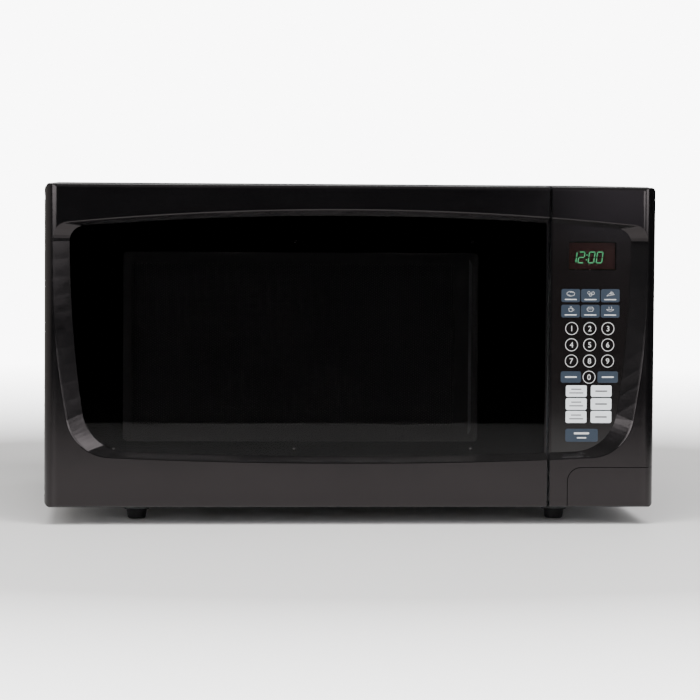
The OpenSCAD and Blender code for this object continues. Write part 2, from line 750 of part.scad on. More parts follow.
module rear_panel() color("#232325") {
    y1 = y_rear - sheet;
    difference() {
        along_y(y1 - sheet, y1)
            round_rect([-case_x + sheet + lay_gap, base_top],
                       [case_x - sheet - lay_gap, body_h - sheet - lay_gap], case_r - sheet);
        for (p = shroud_screws) rod_y([p.x, y1 - sheet - over, p.y], 3 * over, 1.6);
        // Fan grille
        for (k = [-5 : 5])
            let (half = sqrt(max(fan_r * fan_r - (k * slot_pitch) * (k * slot_pitch), 64)))
            span([fan_x - half, y1 - sheet - over, fan_z + k * slot_pitch - slot_w / 2],
                 [fan_x + half, y1 + over, fan_z + k * slot_pitch + slot_w / 2]);
        // Vents beside the transformer
        for (i = [0 : 7])
            span([bay_left + 10 + i * slot_pitch, y1 - sheet - over, base_top + 50],
                 [bay_left + 10 + i * slot_pitch + slot_w, y1 + over, base_top + 50 + slot_l]);
        rod_y([grommet_x, y1 - sheet - over, grommet_z], 3 * over, grommet_r);
        for (x = [-rear_screw_x, rear_screw_x], z = rear_screw_z)
            rod_y([x, y1 - sheet - over, z], 3 * over, 1.4);
    }
}

module case_screws() color("#2e2e30") {
    for (x = [-rear_screw_x, rear_screw_x], z = rear_screw_z)
        translate([x, y_rear, z]) rotate([-90, 0, 0]) screw(3.6, rear_head_h, 1.3, 8);
}

foot_x = body_w * 0.349;
dish_drop = 8.5;
dish_top_r = 24;
foot_ys = [y_behind_plate + dish_top_r + 2, y_rear - 60];
dish_bottom_r = 13;

module base_plate() color("#7d7f81") {
    difference() {
        span([-case_x + sheet + lay_gap, y_behind_plate, base_z],
             [case_x - sheet - lay_gap, y_rear - 2 * sheet - lay_gap, base_top]);
        for (x = [-foot_x, foot_x], y = foot_ys)
            rod_z([x, y, base_z - over], base_t + 2 * over, dish_top_r - 0.5);
        for (p = core_screws) rod_z([p.x, p.y, base_z - over], base_t + 2 * over, 2.5);
        for (i = [0 : 9])
            span([bay_left + 20 + i * slot_pitch, y_rear - 190, base_z - over],
                 [bay_left + 20 + i * slot_pitch + slot_w, y_rear - 190 + slot_l, base_top + over]);
    }
    // Stamped dishes that the feet snap into
    for (x = [-foot_x, foot_x], y = foot_ys) translate([x, y, base_z]) rotate_extrude()
        polygon([[foot_stem_r, -dish_drop], [dish_bottom_r, -dish_drop], [dish_top_r, 0],
                 [dish_top_r, base_t], [dish_top_r - 1, base_t],
                 [dish_bottom_r - 1, base_t - dish_drop], [foot_stem_r, base_t - dish_drop]]);
}

foot_stem_r = 4;
foot_r = 8.25;

module feet() color("#3c3d40") {
    seat = base_z - dish_drop;
    for (x = [-foot_x, foot_x], y = foot_ys) translate([x, y, 0]) rotate_extrude()
        polygon([[0, 0], [foot_r - 1, 0], [foot_r, 1], [foot_r + 1.2, seat - 1.2], [foot_r + 3, seat - 1.2],
                 [foot_r + 3, seat], [foot_stem_r - 0.1, seat], [foot_stem_r - 0.1, seat + base_t],
                 [foot_stem_r + 1, seat + base_t + 0.2], [foot_stem_r - 1, seat + base_t + 3],
                 [0, seat + base_t + 3]]);
}

// ---- Control panel ---------------------------------------------------------------------

lens_x = panel_left + 38;
lens_z1 = body_h - lens_top;
lens_z0 = lens_z1 - lens_h;
overlay_edge = 1.6;

module control_panel() color("#18181c") {
    wall = shell_t;
    difference() {
        moulding(0, panel_left, right + over, y_plate);
        recess();
        intersection() {
            recess_plate(0, y_recess - 0.01, y_recess + overlay_t);
            span([panel_left + overlay_edge, y_front, 0], [right, y_plate, body_h]);
        }
        // Display opening
        along_y(y_recess, y_panel_wall + over)
            round_rect([lens_x - lens_w / 2, lens_z0], [lens_x + lens_w / 2, lens_z1], 1);
        // Ribbon slot
        span([ribbon_x - 1, y_recess, ribbon_z - 0.5],
            [ribbon_x + ribbon_w + 1, y_panel_wall + over, ribbon_z + 1]);
        difference() {
            moulding(wall, panel_left + wall, right + over, y_plate + over);
            along_y(y_front, y_panel_wall) polygon(outline(grow(recess_rim, 2)));
            // Guide wall round the button
            difference() {
                along_y(y_front, y_plate - 1) button_outline(-2);
                along_y(y_front - over, y_plate) button_outline(0);
            }
            for (z = board_z) for (x = board_x)
                rod_y([x, y_panel_wall - 1, z], y_board - y_panel_wall + 1 - lay_gap, 3.5);
        }
        along_y(y_front - over, y_front + button_depth + button_travel + move_gap) button_outline(0);
        for (z = board_z) for (x = board_x) rod_y([x, y_board - 6, z], 8, 1.2);
    }
}

y_board = y_recess + 14.5;
board_t = 1.6;
board_x = [panel_left + 16, right - 30];
board_z = [button_z1 + 26, body_h - 32];

module keypad_overlay() color("#101013") {
    difference() {
        intersection() {
            recess_plate(lay_gap, y_recess, y_recess + overlay_t);
            span([panel_left + overlay_edge + lay_gap, y_front, 0], [right, y_plate, body_h]);
        }
        along_y(y_recess - over, y_recess + overlay_t + over)
            round_rect([lens_x - lens_w / 2, lens_z0], [lens_x + lens_w / 2, lens_z1], 1);
    }
}

module display_window() color("#20110f") {
    g = lay_gap / 2;
    along_y(y_recess, y_recess + 2.4)
        round_rect([lens_x - lens_w / 2 + g, lens_z0 + g], [lens_x + lens_w / 2 - g, lens_z1 - g], 0.9);
}

module display_module() color("#20261f") {
    span([lens_x - 21, y_recess + 3.4, lens_z0 + 1], [lens_x + 21, y_recess + 8, lens_z1 - 1]);
    for (i = [-6 : 6])
        span([lens_x + i * 3 - 0.3, y_recess + 7.9, lens_z0 + 3],
            [lens_x + i * 3 + 0.3, y_board, lens_z0 + 3.6]);
}

module control_board() color("#3d6b3a") {
    difference() {
        span([board_open[0].x + 4, y_board, button_z1 + 20],
            [board_open[1].x - 6, y_board + board_t, body_h - 24]);
        for (z = board_z) for (x = board_x) rod_y([x, y_board - over, z], board_t + 2 * over, 1.6);
    }
}

module board_relays() color("#26262a") {
    y = y_board + board_t;
    x = board_open[0].x + 10;
    for (i = [0 : 2]) span([x + i * 19, y, lens_z0 - 150], [x + 15 + i * 19, y + 16, lens_z0 - 130]);
    // Low-voltage transformer
    span([x + 6, y, lens_z0 - 112], [x + 40, y + 28, lens_z0 - 84]);
    span([x + 12, y + 4, lens_z0 - 117], [x + 34, y + 24, lens_z0 - 79]);
    // Sounder
    rod_y([x + 46, y, lens_z0 - 60], 8, 6);
    // Smoothing capacitors
    for (i = [0, 1]) rod_y([x + 10 + i * 14, y, lens_z0 - 45], 14, 5);
}

ribbon_x = panel_left + 21;
ribbon_w = 14;
ribbon_z = button_z1 + 19.5;

module keypad_ribbon() color("#d9d4c3") {
    x0 = ribbon_x;
    x1 = ribbon_x + ribbon_w;
    z = ribbon_z;
    y1 = y_board - 4;
    span([x0, y_recess + overlay_t, z], [x1, y1, z + 0.4]);
    span([x0, y1 - 0.4, z], [x1, y1, z + 9]);
    span([x0 + 1, y1 - 0.01, z + 3], [x1 - 1, y_board, z + 8.5]);
}

// ---- Microwave source ------------------------------------------------------------------

guide_t = 1.2;
guide_x1 = bay_left + guide_depth;
mag_y = guide_y0 + 44;
mag_z = (guide_z0 + guide_z1) / 2;
mag_w = 84;
mag_h = 86;
mag_d = 62;
mag_x1 = guide_x1 + mag_d;
antenna_r = 9;
anode_r = 19.5;

module waveguide() color("#b4b5b2") {
    difference() {
        union() {
            span([bay_left, guide_y0, guide_z0], [guide_x1, guide_y1, guide_z1]);
            span([bay_left, guide_y0 - 9, guide_z0 - 9], [bay_left + guide_t, guide_y1 + 9, guide_z1 + 9]);
        }
        span([bay_left - over, guide_y0 + guide_t, guide_z0 + guide_t],
             [guide_x1 - guide_t, guide_y1 - guide_t, guide_z1 - guide_t]);
        rod_x([guide_x1 - guide_t - over, mag_y, mag_z], 3 * over, antenna_r + 1.5);
    }
}

module waveguide_cover() color("#c9b78f") {
    difference() {
        span([cavity_x1 - 0.7, guide_y0 + feed_margin + 24, guide_z0 + feed_margin - 6],
             [cavity_x1 - 0.2, guide_y1 - feed_margin + 6, guide_z1 - feed_margin - 4]);
        rod_x([cavity_x1 - over, guide_y1 - feed_margin + 2, guide_z1 - feed_margin - 8], 2, 1.2);
    }
}

module magnetron_yoke() color("#b9babb") {
    t = 2;
    y0 = mag_y - mag_w / 2;
    z0 = mag_z - mag_h / 2;
    difference() {
        span([guide_x1, y0, z0], [mag_x1, y0 + mag_w, z0 + mag_h]);
        span([guide_x1 + t, y0 - over, z0 + t], [mag_x1 - t, y0 + mag_w + over, z0 + mag_h - t]);
        for (x = [guide_x1 - over, mag_x1 - t - over]) rod_x([x, mag_y, mag_z], t + 2 * over, anode_r + 1);
    }
}

module magnetron_fins() color("#c8cacc") {
    fins = 8;
    pitch = 4.6;
    x0 = guide_x1 + (mag_d - (fins - 1) * pitch) / 2;
    for (i = [0 : fins - 1]) difference() {
        span([x0 + i * pitch, mag_y - mag_w / 2 + 4, mag_z - mag_h / 2 + 3],
             [x0 + i * pitch + 0.6, mag_y + mag_w / 2 - 4, mag_z + mag_h / 2 - 3]);
        rod_x([x0 + i * pitch - over, mag_y, mag_z], 3 * over, anode_r + 0.05);
    }
}

module magnetron_core() color("#b87348") {
    rod_x([guide_x1 + 3, mag_y, mag_z], mag_d - 6, anode_r);
    rod_x([guide_x1 - 20, mag_y, mag_z], 23.1, antenna_r);
    translate([guide_x1 - 20, mag_y, mag_z]) sphere(antenna_r);
}

module magnetron_filter_box() color("#adaeb0") {
    span([mag_x1 + 0.01, mag_y - 30, mag_z - 24], [mag_x1 + 30, mag_y + 30, mag_z + 24]);
    // Feed-through and its two tabs
    span([mag_x1 + 8, mag_y - 34, mag_z - 10], [mag_x1 + 22, mag_y - 29.9, mag_z + 10]);
    for (dz = [-5, 4.2]) span([mag_x1 + 12, mag_y - 43, mag_z + dz],
        [mag_x1 + 18, mag_y - 33.9, mag_z + dz + 0.8]);
}

core_w = 96;
core_d = 56;
core_h = 80;
core_x = (bay_left + bay_right) / 2 + 2;
core_y = y_front + 132;
core_screw_y = core_d / 2 + 5.5;
core_screws = [for (x = [-1, 1], y = [-1, 1]) [core_x + x * core_w / 2, core_y + y * core_screw_y]];
core_z = base_top + 2;
leg_w = 32;
coil_w = 15;

module transformer_core() color("#5f6063") {
    difference() {
        span([core_x - core_w / 2, core_y - core_d / 2, core_z],
             [core_x + core_w / 2, core_y + core_d / 2, core_z + core_h]);
        for (side = [-1, 1])
            let (coil_x = core_x + side * (leg_w / 2 + coil_w / 2))
            span([coil_x - coil_w / 2 - 0.01, core_y - core_d / 2 - over, core_z + leg_w / 2],
                 [coil_x + coil_w / 2, core_y + core_d / 2 + over, core_z + core_h - leg_w / 2]);
    }
    difference() {
        span([core_x - core_w / 2 - 6, core_y - core_screw_y - 5, base_top],
             [core_x + core_w / 2 + 6, core_y + core_screw_y + 5, core_z]);
        for (p = core_screws) rod_z([p.x, p.y, base_top - over], 4, 2.5);
    }
}

module transformer_windings() color("#b5652f") {
    z0 = core_z + leg_w / 2 + 0.5;
    room = core_h - leg_w - 1;
    for (part = [[0, 0.4], [0.47, 1]]) difference() {
        along_z(z0 + room * part[0], z0 + room * part[1])
            round_rect([core_x - leg_w / 2 - coil_w + 0.5, core_y - core_d / 2 - coil_w],
                       [core_x + leg_w / 2 + coil_w - 0.5, core_y + core_d / 2 + coil_w], 8);
        along_z(z0 - over, z0 + room + over)
            translate([core_x - leg_w / 2 - 0.3, core_y - core_d / 2 - 0.3])
                square([leg_w + 0.6, core_d + 0.6]);
    }
}

can_w = 50;
can_h = 32;
can_l = 92;
can_x = bay_right - can_w / 2 - 12;
can_y = core_y + 82;
can_z = base_top + 6;

module capacitor() color("#c9cbcc") {
    along_y(can_y, can_y + can_l)
        round_rect([can_x - can_w / 2, can_z], [can_x + can_w / 2, can_z + can_h], can_h / 2 - 0.5);
    for (dx = [-12, 12]) {
        rod_y([can_x + dx, can_y - 5, can_z + can_h / 2], 5.1, 5);
        span([can_x + dx - 3, can_y - 13, can_z + can_h / 2 - 0.4],
            [can_x + dx + 3, can_y - 4.9, can_z + can_h / 2 + 0.4]);
    }
}

module capacitor_clamp() color("#9fa1a3") {
    t = 1;
    w = 14;
    g = 0.1;
    y0 = can_y + can_l / 2;
    difference() {
        union() {
            along_y(y0, y0 + w)
                round_rect([can_x - can_w / 2 - g - t, can_z - g - t],
                    [can_x + can_w / 2 + g + t, can_z + can_h + g + t],
                           can_h / 2);
            span([can_x - can_w / 2 - g - t, y0, base_top],
                [can_x - can_w / 2 - g, y0 + w, can_z + can_h / 2]);
            span([can_x - can_w / 2 - g - t - 16, y0, base_top],
                [can_x - can_w / 2 - g, y0 + w, base_top + t]);
        }
        along_y(y0 - over, y0 + w + over)
            round_rect([can_x - can_w / 2 - g, can_z - g],
                [can_x + can_w / 2 + g, can_z + can_h + g], can_h / 2 - 0.4);
        rod_z([can_x - can_w / 2 - 11, y0 + w / 2, base_top - over], 3 * over, 2);
    }
}

module hv_diode() color("#1f1f22") {
    y = can_y - 22;
    rod_x([can_x - 36, y, can_z + can_h / 2], 17, 3.2);
    rod_x([can_x - 48, y, can_z + can_h / 2], 12.1, 0.6);
    rod_x([can_x - 19.1, y, can_z + can_h / 2], 31, 0.6);
}

// ---- Cooling ---------------------------------------------------------------------------

shroud_w = 2 * fan_r + 16;
shroud_screws = [for (x = [-1, 1], z = [-1, 1])
    [fan_x + x * (shroud_w / 2 - 7), fan_z + z * (shroud_w / 2 - 7)]];
shroud_t = 2;
fan_shaft_r = 1.6;
motor_y = fan_y - 34;

module fan_shroud() color("#dcdad2") {
    y0 = fan_y - 6;
    y1 = y_rear - 2 * sheet;
    hub = 13;
    difference() {
        span([fan_x - shroud_w / 2, y0, fan_z - shroud_w / 2],
            [fan_x + shroud_w / 2, y1, fan_z + shroud_w / 2]);
        span([fan_x - shroud_w / 2 + shroud_t, y0 + shroud_t, fan_z - shroud_w / 2 + shroud_t],
             [fan_x + shroud_w / 2 - shroud_t, y1 + over, fan_z + shroud_w / 2 - shroud_t]);
        rod_y([fan_x, y0 - over, fan_z], shroud_t + 2 * over, fan_r + 1);
    }
    // Corner posts for the screws
    for (p = shroud_screws) difference() {
        rod_y([p.x, y0 + 1, p.y], y1 - y0 - 1, 4);
        rod_y([p.x, y1 - 10, p.y], 11, 1.4);
    }
    // Bridge that carries the motor
    difference() {
        union() {
            rod_y([fan_x, y0, fan_z], shroud_t, hub);
            for (a = [45, 135]) translate([fan_x, y0, fan_z]) rotate([0, a, 0])
                translate([-fan_r - 2, 0, -3]) cube([2 * fan_r + 4, shroud_t, 6]);
        }
        rod_y([fan_x, y0 - over, fan_z], shroud_t + 2 * over, fan_shaft_r + 1);
    }
    // Posts between bridge and motor
    for (x = [-11, 11]) rod_y([fan_x + x, motor_y + 16, fan_z], y0 - motor_y - 15.9, 1.8);
}

module fan_motor() color("#8e7f5f") {
    h = 30;
    difference() {
        union() {
            span([fan_x - 27, motor_y, fan_z - 18], [fan_x + 27, motor_y + 16, fan_z + 18]);
            span([fan_x - 15, motor_y - 6, fan_z - 18 - h * 0.4], [fan_x + 15, motor_y + 22, fan_z - 19.5]);
            span([fan_x - 12, motor_y + 1, fan_z - 20], [fan_x + 12, motor_y + 15, fan_z - 17.9]);
            for (side = [0, 1]) rod_y([fan_x, side == 0 ? motor_y - 5 : motor_y + 15.9, fan_z], 5.1, 7);
        }
        rod_y([fan_x, motor_y - 6, fan_z], 30, fan_shaft_r + run_fit);
    }
}

module fan_shaft() color("#d0d2d4") {
    rod_y([fan_x, motor_y - 8, fan_z], fan_y + 12 - motor_y + 8, fan_shaft_r);
}

module fan_blade() color("#e9e8e2") {
    vane_t = 1.2;
    difference() {
        union() {
            rod_y([fan_x, fan_y, fan_z], 12, 9);
            for (i = [0 : fan_vanes - 1])
                translate([fan_x, fan_y + 6, fan_z]) rotate([0, 360 * i / fan_vanes, 0]) rotate([32, 0, 0])
                    translate([6, -vane_t / 2, -8]) cube([fan_r - 9, vane_t, 16]);
        }
        rod_y([fan_x, fan_y - 3, fan_z], 20, fan_shaft_r + 0.01);
    }
}

module air_duct() color("#d6d4cb") {
    t = 1.5;
    x0 = guide_x1 + 2;
    x1 = bay_right - 3;
    y0 = mag_y + mag_w / 2 + 2;
    y1 = fan_y - 6 - move_gap;
    difference() {
        span([x0, y0, fan_z - 52], [x1, y1, fan_z + 52]);
        span([x0 + t, y0 - over, fan_z - 52 + t], [x1 - t, y1 + over, fan_z + 52 - t]);
    }
}

module lamp_socket() color("#aeb0b0") {
    l = 44;
    difference() {
        rod_x([bay_left, lamp_y, lamp_z], l, 17);
        rod_x([bay_left - over, lamp_y, lamp_z], l - 1, 15.8);
        for (a = [0 : 60 : 300]) translate([bay_left + 10, lamp_y, lamp_z]) rotate([a, 0, 0])
            translate([0, 12, -2]) cube([18, 8, 4]);
    }
    // Contact block and its two tabs
    rod_x([bay_left + 30, lamp_y, lamp_z], 13.1, 9);
    for (dy = [-5, 5]) span([bay_left + l - 0.1, lamp_y + dy - 2.4, lamp_z - 0.4],
        [bay_left + l + 8, lamp_y + dy + 2.4, lamp_z + 0.4]);
}

module oven_lamp() color("#f2ead0") {
    bulb_r = 10;
    translate([bay_left + bulb_r + 3, lamp_y, lamp_z]) rotate([0, 90, 0]) rotate_extrude() intersection() {
        union() {
            circle(bulb_r);
            square([0.7 * bulb_r, 30 - bulb_r - 3 - 0.1]);
        }
        translate([0, -bulb_r]) square(4 * bulb_r);
    }
}

module thermal_cutouts() color("#44403a") {
    for (p = [[bay_left, guide_y1 + 34, cavity_z1 - 40, 0], [mag_x1 + 14, mag_y, mag_z + 24, 1]])
        translate([p.x, p.y, p.z]) rotate([0, p[3] == 0 ? 90 : 0, 0]) {
            cylinder(h = 9, r = 8);
            translate([-5, -12, 0]) cube([10, 24, 0.8]);
            for (dy = [-4, 4]) translate([-2.4, dy - 0.4, 8.9]) cube([4.8, 0.8, 9]);
        }
}

module line_filter_board() color("#4a7a4a") {
    x0 = bay_left + 8;
    y0 = y_rear - 110;
    z0 = base_top + 6;
    span([x0, y0, z0], [x0 + 46, y0 + 72, z0 + 1.6]);
    for (x = [5, 41], y = [5, 67]) rod_z([x0 + x, y0 + y, base_top], 6.1, 2.5);
    // Choke coil, capacitor, fuse and its clips
    difference() {
        rod_z([x0 + 14, y0 + 46, z0 + 1.5], 12, 12);
        rod_z([x0 + 14, y0 + 46, z0 + 1.7], 13, 5);
    }
    span([x0 + 28, y0 + 34, z0 + 1.5], [x0 + 44, y0 + 62, z0 + 16]);
    rod_x([x0 + 8, y0 + 16, z0 + 8], 30, 3.1);
    for (x = [9, 31]) span([x0 + x, y0 + 12, z0 + 1.5], [x0 + x + 6, y0 + 20, z0 + 8]);
}

module cord_grommet() color("#151517") {
    y1 = y_rear - sheet;
    translate([grommet_x, y1 - sheet, grommet_z]) rotate([-90, 0, 0]) rotate_extrude()
        polygon([[3.6, -5], [grommet_r + 2, -5], [grommet_r + 2, -0.05], [grommet_r - 0.1, -0.05],
                 [grommet_r - 0.1, sheet + 0.05], [grommet_r + 1.5, sheet + 0.05], [grommet_r, 2 * sheet],
                 [3.6, 2 * sheet]]);
}

// ---- Turntable -------------------------------------------------------------------------

shaft_r = 3;
coupler_r = 8;
coupler_z0 = cavity_floor + 1.5;
coupler_z1 = tray_z - move_gap;
wing_r = 18;
motor_top = cavity_floor - sheet - lay_gap;
motor_h = 14.5;

module turntable_motor() color("#b3b5b7") {
    difference() {
        union() {
            rod_z([tray_x, tray_y, motor_top - motor_h], motor_h, 25);
            span([tray_x - 33, tray_y - 6, motor_top - 1], [tray_x + 33, tray_y + 6, motor_top]);
            span([tray_x - 8, tray_y + 20, motor_top - motor_h + 2],
                [tray_x + 8, tray_y + 34, motor_top - 2]);
        }
        rod_z([tray_x, tray_y, motor_top - 9], 9 + over, shaft_r + run_fit);
        for (x = [-29, 29]) rod_z([tray_x + x, tray_y, motor_top - 2], 4, 2);
    }
}

module turntable_shaft() color("#d8d9db") {
    rod_z([tray_x, tray_y, motor_top - 8.5], coupler_z1 - 4 - motor_top + 8.5, shaft_r);
}

module turntable_coupler() color("#e4e3db") {
    difference() {
        union() {
            rod_z([tray_x, tray_y, coupler_z0], coupler_z1 - coupler_z0, coupler_r);
            for (a = [0, 120, 240]) translate([tray_x, tray_y, 0]) rotate([0, 0, a])
                translate([0, -2.5, coupler_z1 - 7]) cube([wing_r, 5, 7]);
        }
        rod_z([tray_x, tray_y, coupler_z0 - over], coupler_z1 - 2.8 - coupler_z0, shaft_r + 0.01);
    }
}

wheel_z = cavity_floor + wheel_gap + wheel_d / 2;
ring_w = 7;
wheel_w = 8;
axle_r = 2.4;

module roller_ring() color("#dedcd3") {
    r1 = roller_track_r - wheel_w / 2 - move_gap;
    translate([tray_x, tray_y, 0]) {
        along_z(wheel_z - 2.5, wheel_z + 2.5) difference() {
            circle(r1, $fn = 96);
            circle(r1 - ring_w, $fn = 96);
        }
        for (a = [0, 120, 240]) rotate([0, 0, a]) {
            rod_x([r1 - ring_w / 2, 0, wheel_z], wheel_w + ring_w / 2 + 2 * move_gap + 2.5, axle_r);
            rod_x([r1 + wheel_w + 2 * move_gap, 0, wheel_z], 2.5, axle_r + 0.9);
            rod_x([r1 - ring_w, 0, wheel_z], ring_w, 4.2);
        }
    }
}

module roller_wheel(a) {
    color("#d2d0c8") translate([tray_x, tray_y, 0]) rotate([0, 0, a]) difference() {
        rod_x([roller_track_r - wheel_w / 2, 0, wheel_z], wheel_w, wheel_d / 2);
        rod_x([roller_track_r - wheel_w / 2 - over, 0, wheel_z], wheel_w + 2 * over, axle_r + run_fit);
    }
}
module roller_wheel_1() { roller_wheel(0); }
module roller_wheel_2() { roller_wheel(120); }
module roller_wheel_3() { roller_wheel(240); }

module glass_tray() color("#cfe0dd") {
    r = tray_d / 2;
    rim_h = 12;
    rim_run = 13;
    translate([tray_x, tray_y, tray_z]) {
        rotate_extrude($fn = 96)
            polygon([[0, 0], [r - rim_run, 0], [r, rim_h - 3], [r, rim_h], [r - 3, rim_h],
                     [r - rim_run - 2, tray_t], [0, tray_t]]);
        // Lugs between the wings of the coupler
        for (a = [60, 180, 300]) rotate([0, 0, a])
            translate([coupler_r + 2, -3, -6]) cube([wing_r - coupler_r - 3, 6, 6.01]);
    }
}

module chassis_screws() color("#b4b6b8") {
    // Fan shroud to rear panel
    for (p = shroud_screws)
        translate([p.x, y_rear - sheet, p.y]) rotate([-90, 0, 0]) screw(3, 1.8, 1.35, 8);
    // Transformer to base plate
    for (p = core_screws) translate([p.x, p.y, core_z]) screw(4.2, 2.6, 2.4, 4);
    // Hinges to front plate
    for (z = [upper_ear_z + ear_t - 20, upper_ear_z + ear_t - 6, lower_ear_z + 6, lower_ear_z + 20])
        translate([hinge_x + ear_w / 2 + 4, y_behind_plate + 2, z]) rotate([-90, 0, 0])
            screw(2.8, 1.6, 1.5, 1.9);
    // Turntable motor to cavity floor
    for (x = [-29, 29])
        translate([tray_x + x, tray_y, motor_top - 1]) rotate([180, 0, 0]) screw(3, 1.6, 1.9, 1);
}

outer_case();
rear_panel();
base_plate();
feet();
front_plate();
cavity();
door_frame();
door_window();
door_pan();
door_screen();
door_inner_film();
choke_cover();
door_screws();
latch_hooks();
latch_spring();
latch_bracket();
door_switches();
release_lever();
hinge_upper();
hinge_lower();
control_panel();
keypad_overlay();
display_window();
display_module();
control_board();
board_relays();
keypad_ribbon();
open_button();
button_spring();
magnetron_yoke();
magnetron_fins();
magnetron_core();
magnetron_filter_box();
waveguide();
waveguide_cover();
transformer_core();
transformer_windings();
capacitor();
capacitor_clamp();
hv_diode();
fan_motor();
fan_shaft();
fan_shroud();
fan_blade();
air_duct();
oven_lamp();
lamp_socket();
thermal_cutouts();
line_filter_board();
cord_grommet();
turntable_motor();
turntable_shaft();
turntable_coupler();
roller_ring();
roller_wheel_1();
roller_wheel_2();
roller_wheel_3();
glass_tray();
case_screws();
chassis_screws();
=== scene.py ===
import math

import bmesh
import bpy
from mathutils import Matrix, Vector


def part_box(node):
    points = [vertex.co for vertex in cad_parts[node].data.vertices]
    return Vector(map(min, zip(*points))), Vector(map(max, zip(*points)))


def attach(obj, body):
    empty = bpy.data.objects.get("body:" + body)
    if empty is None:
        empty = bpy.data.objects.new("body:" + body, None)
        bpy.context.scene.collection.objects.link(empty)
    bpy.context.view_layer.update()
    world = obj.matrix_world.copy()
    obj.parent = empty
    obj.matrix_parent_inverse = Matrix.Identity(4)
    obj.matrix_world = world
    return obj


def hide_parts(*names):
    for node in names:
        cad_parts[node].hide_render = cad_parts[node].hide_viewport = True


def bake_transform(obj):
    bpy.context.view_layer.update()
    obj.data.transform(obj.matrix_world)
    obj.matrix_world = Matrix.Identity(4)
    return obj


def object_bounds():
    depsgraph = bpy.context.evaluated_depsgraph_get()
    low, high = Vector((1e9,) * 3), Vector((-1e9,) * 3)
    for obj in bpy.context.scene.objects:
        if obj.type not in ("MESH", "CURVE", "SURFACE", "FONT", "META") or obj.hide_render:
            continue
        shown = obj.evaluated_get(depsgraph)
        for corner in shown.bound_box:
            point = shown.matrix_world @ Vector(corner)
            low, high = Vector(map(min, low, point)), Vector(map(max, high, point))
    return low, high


# Looks of a countertop microwave oven: finishes for every part of the frame, the perforated
# door screen, the printed keypad, the clock display, and the studio round it.
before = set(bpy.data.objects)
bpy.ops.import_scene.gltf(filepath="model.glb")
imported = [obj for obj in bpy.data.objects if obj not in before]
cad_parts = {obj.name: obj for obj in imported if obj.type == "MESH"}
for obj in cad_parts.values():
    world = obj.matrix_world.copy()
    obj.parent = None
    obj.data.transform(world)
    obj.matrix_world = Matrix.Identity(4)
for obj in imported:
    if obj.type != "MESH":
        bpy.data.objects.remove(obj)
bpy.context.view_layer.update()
MM = 0.001


# ---------------------------------------------------------------- shader node helpers

def feed(tree, socket, value):
    """Links a socket, or sets a plain value."""
    if isinstance(value, bpy.types.NodeSocket):
        tree.links.new(value, socket)
    elif value is not None:
        socket.default_value = value


def add(tree, kind, inputs=None, **settings):
    """A node with its settings and inputs; inputs are named or numbered."""
    node = tree.nodes.new("ShaderNode" + kind)
    for key, value in settings.items():
        setattr(node, key, value)
    for key, value in (inputs or {}).items():
        feed(tree, node.inputs[key], value)
    return node


def maths(tree, operation, a, b=None, clamp=False):
    """The result of a Math node."""
    node = add(tree, "Math", {0: a, 1: b}, operation=operation, use_clamp=clamp)
    return node.outputs[0]


def spread(tree, value, low, high, to_low=0.0, to_high=1.0):
    """Maps low..high to to_low..to_high, clamped."""
    inputs = {"Value": value, "From Min": low, "From Max": high, "To Min": to_low, "To Max": to_high}
    return add(tree, "MapRange", inputs).outputs["Result"]


def blend_colour(tree, factor, first, second, kind="MIX"):
    """Mixes two colours by a factor."""
    node = add(tree, "Mix", data_type="RGBA", blend_type=kind)
    for key, value in ((0, factor), (6, first), (7, second)):
        feed(tree, node.inputs[key], value)
    return node.outputs[2]


def stretched(tree, vector, scale):
    """A vector scaled by a triple."""
    return add(tree, "Mapping", {"Vector": vector, "Scale": scale}).outputs["Vector"]


def noise(tree, vector, scale, detail=2.0, rough=0.5):
    """The value of a noise texture."""
    inputs = {"Vector": vector, "Scale": scale, "Detail": detail, "Roughness": rough}
    return add(tree, "TexNoise", inputs).outputs["Fac"]


def grey(level, tint=(1.0, 1.0, 1.0)):
    """A colour from one level and a tint."""
    return (level * tint[0], level * tint[1], level * tint[2], 1.0)


KINDS = {"vector": "NodeSocketVector", "value": "NodeSocketFloat", "colour": "NodeSocketColor"}


def effect(name, inputs, outputs, build):
    """A node group with named sockets; build(tree, inputs) returns the sockets for its outputs."""
    tree = bpy.data.node_groups.new(name, "ShaderNodeTree")
    for label, (kind, default) in inputs.items():
        socket = tree.interface.new_socket(name=label, in_out="INPUT", socket_type=KINDS[kind])
        if default is not None:
            socket.default_value = default
    for label, kind in outputs.items():
        tree.interface.new_socket(name=label, in_out="OUTPUT", socket_type=KINDS[kind])
    start, end = tree.nodes.new("NodeGroupInput"), tree.nodes.new("NodeGroupOutput")
    for label, socket in build(tree, start.outputs).items():
        tree.links.new(socket, end.inputs[label])
    return tree


# ---------------------------------------------------------------- effects shared by finishes

def build_grain(tree, given):
    """Moulded or sprayed surface: a slow waviness under a fine grain."""
    slow = noise(tree, given["Vector"], given["Wave Scale"], 2.0)
    fine = noise(tree, given["Vector"], given["Grain Scale"], 3.0, 0.6)
    wave = maths(tree, "MULTIPLY", slow, given["Wave"])
    grain = maths(tree, "MULTIPLY", fine, given["Grain"])
    return {"Height": maths(tree, "ADD", wave, grain), "Mottle": fine}


